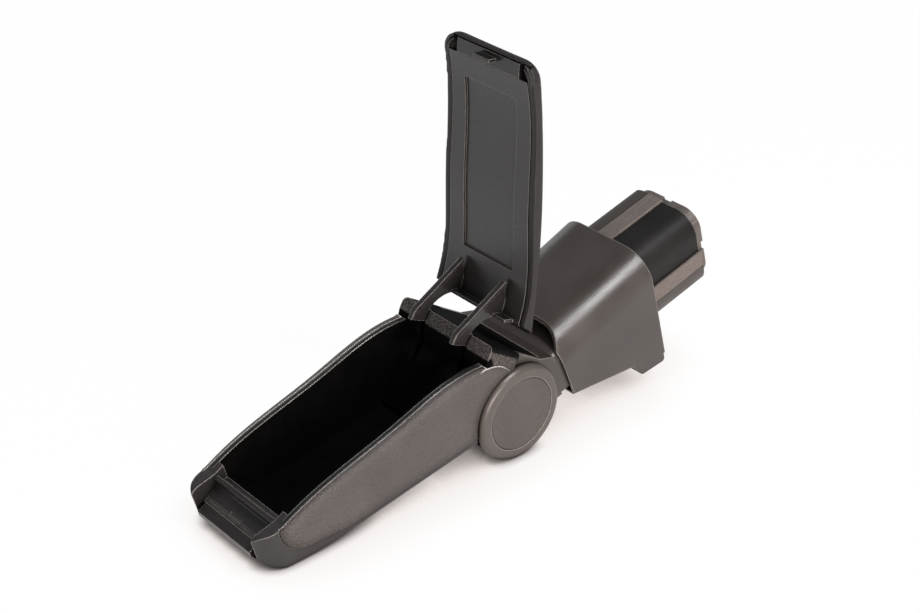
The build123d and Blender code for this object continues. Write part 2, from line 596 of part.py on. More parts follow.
with BuildPart() as bin_shell:
    with BuildSketch(SIDE):
        make_face(bin_outline())
    extrude(amount=BIN_HALF_WIDTH, both=True)
    with BuildSketch(BIN_PLAN):
        make_face(bin_plan(0))
    extrude(amount=2 * RIM_MID[1], both=True, mode=Mode.INTERSECT)
    lower_edges = bin_shell.edges().filter_by(
        lambda edge: abs(edge.center().Y) > BIN_FRONT_HALF - SAME
        and SIDE.to_local_coords(edge.center()).X < TAIL[0] - SAME
        and SIDE.to_local_coords(edge.center()).Y < (NOSE_TOP + TAIL[1]) / 2)
    fillet(lower_edges, BIN_EDGE_ROUND)
    with BuildSketch(SIDE):
        make_face(cavity_outline(0, 2 * RIM_MID[1]))
    extrude(amount=CAVITY_HALF_WIDTH, both=True, mode=Mode.SUBTRACT)
    with BuildSketch(SIDE):
        with BuildLine():
            Polyline((2 * NOSE_X, LATCH_RECESS_FLOOR), (LATCH_RECESS_BACK, LATCH_RECESS_FLOOR),
                     (LATCH_RECESS_BACK, LATCH_WALL_TOP), (RIM_FALL[0], LATCH_WALL_TOP),
                     (RIM_FALL[0], 2 * NOSE_TOP), (2 * NOSE_X, 2 * NOSE_TOP), close=True)
        make_face()
    extrude(amount=LATCH_RECESS_HALF, both=True, mode=Mode.SUBTRACT)
    with BuildSketch(section(NOSE_X)):
        with Locations((0, LATCH_RECESS_FLOOR)):
            with GridLocations(GRIP_SCALLOP_STEP, 1, GRIP_SCALLOPS, 1):
                Circle(GRIP_SCALLOP_RADIUS)
    extrude(amount=GRIP_SCALLOP_DEPTH, mode=Mode.SUBTRACT)
    for side in (1, -1):
        with BuildSketch(SIDE.offset(side * PANEL_INNER_Y)):
            make_face(panel_outline())
            offset(amount=PANEL_GAP)
        extrude(amount=side * BIN_HALF_WIDTH, mode=Mode.SUBTRACT)
    with BuildSketch(SIDE):
        make_face(cheek_outline())
        offset(amount=SEAT_GAP)
    extrude(amount=2 * BIN_HALF_WIDTH, both=True, mode=Mode.SUBTRACT)
    with BuildSketch(SIDE):
        with Locations(LATCH_AXIS):
            Circle(LATCH_PIN_RADIUS + SHAFT_CLEARANCE)
    extrude(amount=LATCH_PIN_HALF_LENGTH + SEAT_GAP, both=True, mode=Mode.SUBTRACT)
    for side in (1, -1):
        with BuildSketch(SIDE.offset(side * CAVITY_HALF_WIDTH)):
            with Locations(*HOUSING_SCREWS):
                Circle(SCREW_RADIUS + SHAFT_CLEARANCE)
        extrude(amount=side * (BIN_HALF_WIDTH - CAVITY_HALF_WIDTH), mode=Mode.SUBTRACT)
        with BuildSketch(SIDE.offset(side * (PANEL_INNER_Y - SCREW_HEAD_HEIGHT))):
            with Locations(*HOUSING_SCREWS):
                Circle(SCREW_HEAD_RADIUS + SHAFT_CLEARANCE)
        extrude(amount=side * BIN_HALF_WIDTH, mode=Mode.SUBTRACT)
finish(bin_shell, "bin_shell")

for name, side in (("near", 1), ("far", -1)):
    with BuildPart() as side_panel:
        with BuildSketch(SIDE.offset(side * (PANEL_INNER_Y + SEAT_GAP))):
            make_face(panel_outline())
        extrude(amount=side * BIN_HALF_WIDTH)
        with BuildSketch(BIN_PLAN):
            make_face(bin_plan(PANEL_PROUD))
        extrude(amount=2 * RIM_MID[1], both=True, mode=Mode.INTERSECT)
        with BuildSketch(SIDE):
            make_face(cheek_outline())
            offset(amount=PANEL_GAP)
        extrude(amount=2 * BIN_HALF_WIDTH, both=True, mode=Mode.SUBTRACT)
        broad_faces = side_panel.faces().sort_by(SortBy.AREA)[-2:]
        outer_face = broad_faces.sort_by(Axis.Y)[-1 if side < 0 else 0]
        fillet(outer_face.edges().filter_by(lambda edge: SIDE.to_local_coords(edge.center()).X < TAIL[0]),
               PANEL_EDGE_ROUND)
    finish(side_panel, f"side_panel_{name}")

with BuildPart() as bin_liner:
    liner_half = CAVITY_HALF_WIDTH - SEAT_GAP
    with BuildSketch(SIDE):
        make_face(cavity_outline(SEAT_GAP, 2 * RIM_MID[1]))
    extrude(amount=liner_half, both=True)
    with BuildSketch(SIDE):
        make_face(cavity_outline(SEAT_GAP + LINER_WALL, 3 * RIM_MID[1]))
    extrude(amount=liner_half - LINER_WALL, both=True, mode=Mode.SUBTRACT)
    with BuildSketch(SIDE):
        with BuildLine():
            rim = rim_arc(-LINER_RIM_DROP)
            Polyline(rim @ 1, (-NOSE_REACH, RIM_FRONT[1]), (-NOSE_REACH, 3 * RIM_MID[1]), (0, 3 * RIM_MID[1]),
                     (0, RIM_REAR[1] - LINER_RIM_DROP), rim @ 0)
        make_face()
    extrude(amount=BIN_HALF_WIDTH, both=True, mode=Mode.SUBTRACT)
    with BuildSketch(SIDE):
        with BuildLine():
            Polyline((FAIRING_FOOT_X, -DISC_RADIUS), *FAIRING, (FAIRING[-1][0], 2 * RIM_MID[1]),
                     (DISC_RADIUS, 2 * RIM_MID[1]), (DISC_RADIUS, -DISC_RADIUS), close=True)
        make_face()
        offset(amount=SEAT_GAP)
    extrude(amount=BIN_HALF_WIDTH, both=True, mode=Mode.SUBTRACT)
    with BuildSketch(SIDE):
        with BuildLine():
            Polyline((2 * NOSE_X, LATCH_WALL_TOP), (RIM_FALL[0], LATCH_WALL_TOP),
                     (RIM_FALL[0], 2 * NOSE_TOP), (2 * NOSE_X, 2 * NOSE_TOP), close=True)
        make_face()
    extrude(amount=LATCH_RECESS_HALF, both=True, mode=Mode.SUBTRACT)
finish(bin_liner, "bin_liner")

# Bin: hinge housing with its crest, slope, arm slots and barrel

slot_from = ARM_LEG_ANGLE - LID_OPEN_ANGLE - 2 * ARM_SLOT_MARGIN
slot_to = ARM_TIP_ANGLE + ARM_SLOT_MARGIN
slot_radius = ARM_REACH + ARM_SLOT_GAP
slot_half = ARM_FLANGE_WIDTH / 2 + ARM_SLOT_GAP

with BuildPart() as hinge_housing:
    with BuildSketch(SIDE):
        with BuildLine():
            top = CenterArc(LID_PIVOT, HOUSING_TOP_RADIUS, 180, CREST_ANGLE - 180)
            Line(top @ 1, SLOPE_POINT)
            barrel_angle = degrees(atan2(SLOPE_POINT[1], SLOPE_POINT[0]))
            barrel = CenterArc((0, 0), hypot(*SLOPE_POINT), barrel_angle, BARREL_BACK_ANGLE - barrel_angle)
            foot_angle = degrees(atan2(TAIL[1] + BIN_FLOOR, TAIL[0])) % 360
            lower_turn = foot_angle - 360 - BARREL_BACK_ANGLE
            lower = CenterArc((0, 0), BARREL_LOWER_RADIUS, BARREL_BACK_ANGLE, lower_turn)
            Line(barrel @ 1, lower @ 0)
            Polyline(lower @ 1, (TAIL[0], TAIL[1] + BIN_FLOOR + SEAT_GAP), *FAIRING)
        make_face()
    extrude(amount=HOUSING_HALF_WIDTH, both=True)
    with BuildSketch(SIDE):
        make_face(cheek_outline())
    extrude(amount=BIN_HALF_WIDTH, both=True)
    cheek_edges = hinge_housing.edges().filter_by(
        lambda edge: abs(abs(edge.center().Y) - BIN_HALF_WIDTH) < SAME
        and SIDE.to_local_coords(edge.center()).dot(SLOPE_DIRECTION) > SLOPE_OFFSET - CHEEK_ROUND)
    fillet(cheek_edges, CHEEK_ROUND)
    for side in (1, -1):
        with BuildSketch(SIDE.offset(side * ARM_Y)):
            with BuildLine():
                sweep_arc = CenterArc(LID_PIVOT, slot_radius, slot_from, slot_to - slot_from)
                Polyline(sweep_arc @ 1, LID_PIVOT, sweep_arc @ 0)
            make_face()
            with Locations(LID_PIVOT):
                Circle(LID_BOSS_RADIUS + RUNNING_GAP)
        extrude(amount=slot_half, both=True, mode=Mode.SUBTRACT)
        with BuildSketch(SIDE.offset(side * (EAR_INNER_Y - WASHER_THICKNESS - WASHER_GAP))):
            Circle(WASHER_RADIUS + RUNNING_GAP)
        extrude(amount=side * WASHER_THICKNESS, mode=Mode.SUBTRACT)
        with BuildSketch(SIDE.offset(side * (HOUSING_HALF_WIDTH - SCREW_LENGTH))):
            with Locations(*HOUSING_SCREWS):
                Circle(SCREW_RADIUS + SHAFT_CLEARANCE)
        extrude(amount=side * SCREW_LENGTH, mode=Mode.SUBTRACT)
    chamber_out = HOUSING_HALF_WIDTH - WASHER_THICKNESS - HOUSING_RIB
    chamber_in = ARM_Y + slot_half + HOUSING_RIB
    centre_half = ARM_Y - slot_half - HOUSING_RIB
    for start, end in ((-chamber_out, -chamber_in), (-centre_half, centre_half), (chamber_in, chamber_out)):
        with BuildSketch(SIDE.offset(start)):
            Circle(BARREL_LOWER_RADIUS - HOUSING_WALL)
            Circle(HOUSING_HUB_RADIUS, mode=Mode.SUBTRACT)
        extrude(amount=end - start, mode=Mode.SUBTRACT)
    with BuildSketch(SIDE):
        with Locations(VENT_CENTRE):
            Circle(VENT_RADIUS)
    extrude(amount=chamber_out, both=True, mode=Mode.SUBTRACT)
    with BuildSketch(SIDE):
        Circle(AXLE_RADIUS + SHAFT_CLEARANCE)
    extrude(amount=DISC_FACE_Y, both=True, mode=Mode.SUBTRACT)
    with BuildSketch(SIDE):
        with Locations(LID_PIVOT):
            Circle(LID_PIN_RADIUS + SHAFT_CLEARANCE)
    extrude(amount=LID_PIN_HALF_LENGTH + SEAT_GAP, both=True, mode=Mode.SUBTRACT)
finish(hinge_housing, "hinge_housing")

with BuildPart() as lid_pin:
    with BuildSketch(SIDE):
        with Locations(LID_PIVOT):
            Circle(LID_PIN_RADIUS)
    extrude(amount=LID_PIN_HALF_LENGTH, both=True)
finish(lid_pin, "lid_pin")

with BuildPart() as housing_screws:
    for side in (1, -1):
        with BuildSketch(SIDE.offset(side * (HOUSING_HALF_WIDTH - SCREW_LENGTH + SEAT_GAP))):
            with Locations(*HOUSING_SCREWS):
                Circle(SCREW_RADIUS)
        extrude(amount=side * (SCREW_LENGTH + PANEL_INNER_Y - HOUSING_HALF_WIDTH - SEAT_GAP))
        with BuildSketch(SIDE.offset(side * PANEL_INNER_Y)):
            with Locations(*HOUSING_SCREWS):
                Circle(SCREW_HEAD_RADIUS)
        extrude(amount=-side * SCREW_HEAD_HEIGHT)
finish(housing_screws, "housing_screws")

# Latch: rocking lever, its pin and its spring

with BuildPart() as latch_lever:
    rail_front = LATCH_RAIL_BACK - LATCH_RAIL_DEPTH
    plate_back_low = LATCH_PLATE_TOP - LATCH_PLATE_THICKNESS
    plate_front_top = LATCH_PLATE_TOP - LATCH_PLATE_FALL
    plate_front_low = plate_front_top - LATCH_PLATE_THICKNESS
    with BuildSketch(SIDE):
        with BuildLine():
            FilletPolyline(
                (LATCH_RAIL_BACK, LATCH_RAIL_TOP),
                (rail_front, LATCH_RAIL_TOP - LATCH_PLATE_FALL / 2),
                (rail_front, LATCH_LEDGE),
                (LATCH_PLATE_BACK, LATCH_PLATE_TOP),
                (LATCH_PLATE_BACK, plate_back_low),
                (LATCH_AXIS[0], LATCH_AXIS[1]),
                (LATCH_RAIL_BACK, LATCH_LEDGE - LATCH_RAIL_DEPTH),
                radius=[LATCH_EDGE_ROUND] * 5,
            )
            Line((LATCH_RAIL_BACK, LATCH_LEDGE - LATCH_RAIL_DEPTH), (LATCH_RAIL_BACK, LATCH_RAIL_TOP))
        make_face()
        with Locations(LATCH_AXIS):
            Circle(LATCH_BOSS_RADIUS)
    extrude(amount=LATCH_HALF_WIDTH, both=True)
    with BuildSketch(SIDE):
        with BuildLine():
            Polyline((LATCH_PLATE_BACK + LATCH_PLATE_THICKNESS, LATCH_PLATE_TOP),
                     (LATCH_PLATE_BACK, LATCH_PLATE_TOP), (LATCH_PLATE_FRONT, plate_front_top),
                     (LATCH_PLATE_FRONT, plate_front_low - GRIP_DROP),
                     (LATCH_PLATE_FRONT + GRIP_THICKNESS, plate_front_low - GRIP_DROP),
                     (LATCH_PLATE_FRONT + GRIP_THICKNESS, plate_front_low),
                     (LATCH_PLATE_BACK, plate_back_low),
                     (LATCH_PLATE_BACK + LATCH_PLATE_THICKNESS, plate_back_low), close=True)
        make_face()
    extrude(amount=LATCH_PLATE_HALF, both=True)
    for step in range(LATCH_GROOVES):
        groove_x = LATCH_PLATE_BACK + LATCH_GROOVE_STEP * (step + 0.5)
        groove_z = LATCH_PLATE_TOP + (groove_x - LATCH_PLATE_BACK) * (LATCH_LEDGE - LATCH_PLATE_TOP) / (
            rail_front - LATCH_PLATE_BACK)
        with BuildSketch(SIDE):
            with Locations((groove_x, groove_z)):
                Circle(LATCH_GROOVE_WIDTH / 2)
        extrude(amount=2 * LATCH_HALF_WIDTH, both=True, mode=Mode.SUBTRACT)
    with BuildSketch(SIDE):
        with Locations(LATCH_AXIS):
            Circle(LATCH_PIN_RADIUS + SHAFT_CLEARANCE)
    extrude(amount=2 * LATCH_HALF_WIDTH, both=True, mode=Mode.SUBTRACT)
    with BuildSketch(SIDE):
        with Locations(LATCH_AXIS):
            Circle(LATCH_BOSS_RADIUS + SEAT_GAP)
    extrude(amount=SPRING_HALF_LENGTH + SEAT_GAP, both=True, mode=Mode.SUBTRACT)
finish(latch_lever, "latch_lever")

with BuildPart() as latch_pin:
    with BuildSketch(SIDE):
        with Locations(LATCH_AXIS):
            Circle(LATCH_PIN_RADIUS)
    extrude(amount=LATCH_PIN_HALF_LENGTH, both=True)
finish(latch_pin, "latch_pin")

with BuildPart() as latch_spring:
    with BuildSketch(SIDE):
        with Locations(LATCH_AXIS):
            Circle(SPRING_RADIUS)
            Circle(LATCH_PIN_RADIUS + SHAFT_CLEARANCE, mode=Mode.SUBTRACT)
    extrude(amount=SPRING_HALF_LENGTH, both=True)
finish(latch_spring, "latch_spring")

# Lid: inner panel with its two goose-neck arms

lid_rear_radius = HOUSING_TOP_RADIUS + LID_SWEEP_GAP


def lid_angle(height):
    """Angle at which the lid's rear arc passes a height."""
    return 180 - degrees(asin((height - LID_PIVOT[1]) / lid_rear_radius))


def lid_band(low, high, front_x, rear_angle):
    """Side view of a layer of the closed lid: it follows the rim and ends in an arc round the lid pivot."""
    with BuildLine() as outline:
        under = rim_arc(low)
        over = rim_arc(high)
        rear_low = lid_angle(RIM_REAR[1] + low)
        rear = CenterArc(LID_PIVOT, lid_rear_radius, rear_low, rear_angle - rear_low)
        Line(under @ 0, rear @ 0)
        Line(rear @ 1, over @ 0)
        Polyline(under @ 1, (front_x, RIM_FRONT[1] + low), (front_x, RIM_FRONT[1] + high), over @ 1)
    return outline.edges()


def panel_plan(gap):
    """Plan view of the lid panel, which leaves the pad a hem of even width at its sides."""
    rear_half = LID_HALF_WIDTH - LID_HEM + gap
    front_half = LID_FRONT_HALF - LID_HEM + gap
    with BuildLine() as outline:
        Polyline((DISC_RADIUS, rear_half), (LID_FRONT_X, front_half), (LID_FRONT_X, -front_half),
                 (DISC_RADIUS, -rear_half), close=True)
    return outline.edges()


panel_top = LID_GAP + LID_PANEL_THICKNESS
panel_rear_angle = lid_angle(RIM_REAR[1] + panel_top)

with BuildPart() as lid_panel:
    with BuildSketch(LID_SIDE):
        make_face(lid_band(LID_GAP, panel_top, LID_PANEL_FRONT_X, panel_rear_angle))
    extrude(amount=LID_HALF_WIDTH, both=True)
    with BuildSketch(LID_PLAN):
        make_face(panel_plan(0))
    extrude(amount=2 * RIM_MID[1], mode=Mode.INTERSECT)
    with BuildSketch(LID_SIDE):
        with BuildLine():
            lip_start = lid_angle(RIM_REAR[1] + LID_GAP + LID_REAR_LIP_THICKNESS / 2)
            lip_turn = LID_REAR_LIP_ANGLE - lip_start
            lip_inner = CenterArc(LID_PIVOT, lid_rear_radius, lip_start, lip_turn)
            lip_outer = CenterArc(LID_PIVOT, lid_rear_radius + LID_REAR_LIP_THICKNESS, lip_start, lip_turn)
            Line(lip_inner @ 0, lip_outer @ 0)
            Line(lip_inner @ 1, lip_outer @ 1)
        make_face()
    extrude(amount=LID_REAR_LIP_HALF, both=True)
    with BuildSketch(LID_SIDE):
        with BuildLine():
            recess_low = rim_arc(-LID_GAP)
            recess_high = rim_arc(LID_GAP + LID_RECESS_DEPTH)
            Line(recess_low @ 0, recess_high @ 0)
            Line(recess_low @ 1, recess_high @ 1)
        make_face()
        with Locations(((LID_RECESS_X[0] + LID_RECESS_X[1]) / 2, RIM_MID[1])):
            Rectangle(LID_RECESS_X[1] - LID_RECESS_X[0], RIM_MID[1], mode=Mode.INTERSECT)
    extrude(amount=LID_RECESS_HALF, both=True, mode=Mode.SUBTRACT)
    arm_tip = polar(LID_PIVOT, ARM_REACH, ARM_TIP_ANGLE)
    arm_knee = polar(LID_PIVOT, ARM_REACH, ARM_KNEE_ANGLE)
    arm_root = (ARM_ROOT_X, RIM_REAR[1] + LID_GAP + ARM_ROOT_DEPTH)
    for side in (1, -1):
        with BuildSketch(LID_SIDE.offset(side * ARM_Y)):
            with BuildLine():
                inner_turn = ARM_LEG_ANGLE - panel_rear_angle
                inner = CenterArc(LID_PIVOT, lid_rear_radius, panel_rear_angle, inner_turn)
                outer = CenterArc(LID_PIVOT, ARM_REACH, ARM_TIP_ANGLE, ARM_KNEE_ANGLE - ARM_TIP_ANGLE)
                Polyline(inner @ 1, LID_PIVOT, outer @ 0)
                Polyline(outer @ 1, arm_root, inner @ 0)
            make_face()
            with Locations(LID_PIVOT):
                Circle(LID_BOSS_RADIUS)
        extrude(amount=ARM_WEB / 2, both=True)
        with BuildSketch(LID_SIDE.offset(side * ARM_Y)):
            with BuildLine():
                Polyline(arm_tip, arm_knee, arm_root, (arm_root[0] + ARM_FLANGE_DEPTH, arm_root[1]),
                         (arm_knee[0] + ARM_FLANGE_DEPTH, arm_knee[1] + ARM_FLANGE_DEPTH), close=True)
            make_face()
        extrude(amount=ARM_FLANGE_WIDTH / 2, both=True)
    with BuildSketch(LID_SIDE):
        with Locations(LID_PIVOT):
            Circle(LID_PIN_RADIUS + SHAFT_CLEARANCE)
    extrude(amount=LID_HALF_WIDTH, both=True, mode=Mode.SUBTRACT)
finish(lid_panel, "lid_panel")

lid_under = RIM_FRONT[1] + LID_GAP

with BuildPart() as lid_catch:
    catch_back = LID_PANEL_FRONT_X - SEAT_GAP
    catch_top = lid_under + LID_PANEL_THICKNESS
    hook_end = lid_under - CATCH_HOOK_DROP
    with BuildSketch(LID_SIDE):
        with BuildLine():
            Polyline((catch_back, lid_under), (CATCH_FRONT_X, lid_under), (CATCH_FRONT_X, catch_top),
                     (catch_back, catch_top), close=True)
        make_face()
    extrude(amount=CATCH_HALF_WIDTH, both=True)
    with BuildSketch(LID_SIDE):
        with BuildLine():
            Polyline((CATCH_HOOK_X, catch_top), (CATCH_HOOK_X, hook_end),
                     (CATCH_HOOK_X - CATCH_HOOK_THICKNESS, hook_end),
                     (CATCH_HOOK_X - CATCH_HOOK_THICKNESS, catch_top), close=True)
        make_face()
    extrude(amount=CATCH_HOOK_HALF, both=True)
finish(lid_catch, "lid_catch")


def pad_outline():
    """Side view of the closed lid's cushion: flat on the rim below, one long crown above."""
    with BuildLine() as outline:
        under = rim_arc(LID_GAP)
        rear_low = lid_angle(RIM_REAR[1] + LID_GAP)
        rear = CenterArc(LID_PIVOT, lid_rear_radius, rear_low, CREST_ANGLE - rear_low)
        front_top = (LID_FRONT_X, lid_under + LID_NOSE_HEIGHT)
        crown_mid = (RIM_MID[0], RIM_MID[1] + LID_GAP + LID_PAD_HEIGHT)
        ThreePointArc(front_top, crown_mid, rear @ 1)
        Line(under @ 0, rear @ 0)
        Polyline(under @ 1, (LID_FRONT_X, lid_under), front_top)
    return outline.edges()


with BuildPart() as pad_pocket:
    with BuildSketch(LID_SIDE):
        make_face(lid_band(-LID_GAP, panel_top + SEAT_GAP, LID_PANEL_FRONT_X - SEAT_GAP, panel_rear_angle))
    extrude(amount=LID_HALF_WIDTH, both=True)
    with BuildSketch(LID_PLAN):
        make_face(panel_plan(SEAT_GAP))
    extrude(amount=2 * RIM_MID[1], mode=Mode.INTERSECT)

with BuildPart() as lid_pad:
    with BuildSketch(LID_SIDE):
        make_face(pad_outline())
    extrude(amount=LID_HALF_WIDTH, both=True)
    with BuildSketch(LID_PLAN):
        with BuildLine():
            FilletPolyline((DISC_RADIUS, LID_HALF_WIDTH), (LID_FRONT_X, LID_FRONT_HALF),
                           (LID_FRONT_X, -LID_FRONT_HALF), (DISC_RADIUS, -LID_HALF_WIDTH),
                           radius=LID_CORNER_ROUND)
            Line((DISC_RADIUS, LID_HALF_WIDTH), (DISC_RADIUS, -LID_HALF_WIDTH))
        make_face()
    extrude(amount=2 * RIM_MID[1], mode=Mode.INTERSECT)
    crown_edges = lid_pad.edges().filter_by(
        lambda edge: LID_SIDE.to_local_coords(edge.center()).Y > lid_under + LID_NOSE_HEIGHT - SAME
        and LID_SIDE.to_local_coords(edge.center()).X < RIM_REAR[0] - SAME)
    fillet(crown_edges, LID_PAD_ROUND)
    add(pad_pocket.part, mode=Mode.SUBTRACT)
    with BuildSketch(LID_SIDE):
        with BuildLine():
            Polyline((LID_PANEL_FRONT_X, 0), (CATCH_FRONT_X - SEAT_GAP, 0),
                     (CATCH_FRONT_X - SEAT_GAP, catch_top + SEAT_GAP),
                     (LID_PANEL_FRONT_X, catch_top + SEAT_GAP), close=True)
        make_face()
    extrude(amount=CATCH_HALF_WIDTH + SEAT_GAP, both=True, mode=Mode.SUBTRACT)
finish(lid_pad, "lid_pad")
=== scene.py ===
import json
import math

import bmesh
import bpy
from mathutils import Matrix, Vector


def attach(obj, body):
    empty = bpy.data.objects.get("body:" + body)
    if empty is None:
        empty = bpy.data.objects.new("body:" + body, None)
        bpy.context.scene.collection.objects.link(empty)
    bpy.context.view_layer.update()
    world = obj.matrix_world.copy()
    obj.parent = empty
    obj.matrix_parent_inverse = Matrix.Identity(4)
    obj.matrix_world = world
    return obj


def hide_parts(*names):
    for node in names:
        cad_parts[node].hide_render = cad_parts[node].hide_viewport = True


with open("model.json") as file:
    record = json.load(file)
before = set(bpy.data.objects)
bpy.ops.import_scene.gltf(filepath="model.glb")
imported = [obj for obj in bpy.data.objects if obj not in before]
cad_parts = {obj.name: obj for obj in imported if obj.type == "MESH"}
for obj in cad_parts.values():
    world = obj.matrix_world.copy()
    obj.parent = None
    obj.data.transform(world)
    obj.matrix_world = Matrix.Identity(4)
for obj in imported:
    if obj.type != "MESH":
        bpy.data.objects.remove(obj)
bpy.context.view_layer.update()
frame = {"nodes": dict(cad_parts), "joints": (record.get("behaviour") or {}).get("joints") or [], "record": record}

# Car centre armrest: finishes of the moulded pieces, the padded lid, and the studio.
# Lengths are metres and angles are degrees unless a comment says otherwise.

MM = 0.001
PITCH = 15.0


def joint(name):
    """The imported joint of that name."""
    return next(entry for entry in frame["joints"] if entry["name"] == name)


HINGE = Vector(joint("arm_fold")["pos_m"])
LID_PIVOT = Vector(joint("lid_hinge")["pos_m"])
LID_TRAVEL = joint("lid_hinge")["range_deg"][1]

# The pitched side view that the arm and the base share: along runs to the plug, up is square to it
ALONG = Vector((math.cos(math.radians(PITCH)), 0, math.sin(math.radians(PITCH))))
UP = Vector((-math.sin(math.radians(PITCH)), 0, math.cos(math.radians(PITCH))))
ACROSS = Vector((0, 1, 0))
LID_TO_REST = Matrix.Rotation(math.radians(LID_TRAVEL), 3, "Y")
LID_INNER = LID_TO_REST @ -UP


def in_arm(along, across, up):
    """World place of a point given in millimetres in the arm's pitched view, from the main hinge axis."""
    return HINGE + (ALONG * along + UP * up) * MM + Vector((0, across * MM, 0))


def in_lid(along, across, up):
    """World place, at rest, of a point given as for in_arm with the lid closed."""
    return LID_PIVOT + LID_TO_REST @ (in_arm(along, across, up) - LID_PIVOT)


def from_lid(place):
    """The along, across and up, in millimetres, of a world place on the resting lid: in_lid undone."""
    closed = LID_PIVOT + LID_TO_REST.transposed() @ (place - LID_PIVOT) - HINGE
    return closed.dot(ALONG) / MM, closed.y / MM, closed.dot(UP) / MM


def ramp(value, start, end):
    """0 before start, 1 after end, and smooth between them."""
    share = min(1.0, max(0.0, (value - start) / (end - start)))
    return share * share * (3 - 2 * share)


# Tones of the materials


def tone(red, green, blue):
    """Opaque colour."""
    return (red, green, blue, 1.0)


WHITE = tone(1.0, 1.0, 1.0)
# Painted shade: near black, put in gaps, nooks, beside strips and on dark edges
PAINTED_SHADE_TONE = tone(0.003, 0.003, 0.003)
# Lighter tone of edges: partly wear, partly a painted highlight
WORN_EDGE_HIGHLIGHT_TONE = tone(0.340, 0.310, 0.295)
# Painted highlight for the upper edges of grained panels
PAINTED_EDGE_HIGHLIGHT = tone(0.800, 0.750, 0.720)
VALLEY_TONE = tone(0.022, 0.019, 0.018)
CREST_TONE = tone(0.150, 0.132, 0.124)
STRIP_DARK = tone(0.075, 0.064, 0.058)
STRIP_LIGHT = tone(0.125, 0.106, 0.097)
STRIP_WORN = tone(0.100, 0.084, 0.077)
FLOCK_DARK = tone(0.0010, 0.0010, 0.0010)
FLOCK_LIGHT = tone(0.0020, 0.0019, 0.0018)
LEATHER_DARK = tone(0.012, 0.011, 0.011)
LEATHER_LIGHT = tone(0.018, 0.016, 0.016)
SHELL_DARK = tone(0.027, 0.023, 0.021)
SHELL_LIGHT = tone(0.040, 0.034, 0.031)
PANEL_DARK = tone(0.044, 0.037, 0.034)
PANEL_LIGHT = tone(0.060, 0.051, 0.047)
INSERT_DARK = tone(0.042, 0.036, 0.033)
INSERT_LIGHT = tone(0.056, 0.048, 0.044)
SATIN_DARK = tone(0.012, 0.011, 0.011)
SATIN_LIGHT = tone(0.018, 0.016, 0.016)
BLACK_DARK = tone(0.008, 0.008, 0.008)
BLACK_LIGHT = tone(0.014, 0.013, 0.013)
STEEL_DARK = tone(0.42, 0.42, 0.43)
STEEL_LIGHT = tone(0.58, 0.57, 0.55)
FLOOR_LIT = tone(0.94, 0.90, 0.88)
# Painted shadow on the floor: its wide shade and its dark contact shadow
FLOOR_SHADE = tone(0.84, 0.77, 0.74)
FLOOR_CONTACT_SHADOW = tone(0.035, 0.028, 0.026)

# Materials

BEVEL_SAMPLES = 6
BUMP_STRENGTH = 0.6
FULL_RANGE = (0.0, 1.0)
FALLING_RANGE = (1.0, 0.0)

# The range that soft noise mostly keeps to, and how many layers of it are used
NOISE_RANGE = (0.3, 0.7)
LITTLE_DETAIL = 2.0
SOME_DETAIL = 3.0
MUCH_DETAIL = 4.0

# Cosine between the softened normal and the true one where an edge begins and where it is full
EDGE_RANGE = (0.985, 0.86)

# Painted shade in gaps and nooks: reach, openness where the painted shade begins and where it is full, and how
# dark it gets
OPENNESS_SAMPLES = 8
GAP_REACH = 3.0 * MM
GAP_RANGE = (0.55, 0.25)
GAP_SHADE_SHARE = 0.95
NOOK_REACH = 35 * MM
NOOK_RANGE = (0.62, 0.15)
NOOK_SHADE_SHARE = 0.85

# Sockets of the Mix node when it mixes colours, and when it mixes numbers
COLOUR_FIRST = 6
COLOUR_SECOND = 7
COLOUR_RESULT = 2
NUMBER_FIRST = 2
NUMBER_SECOND = 3


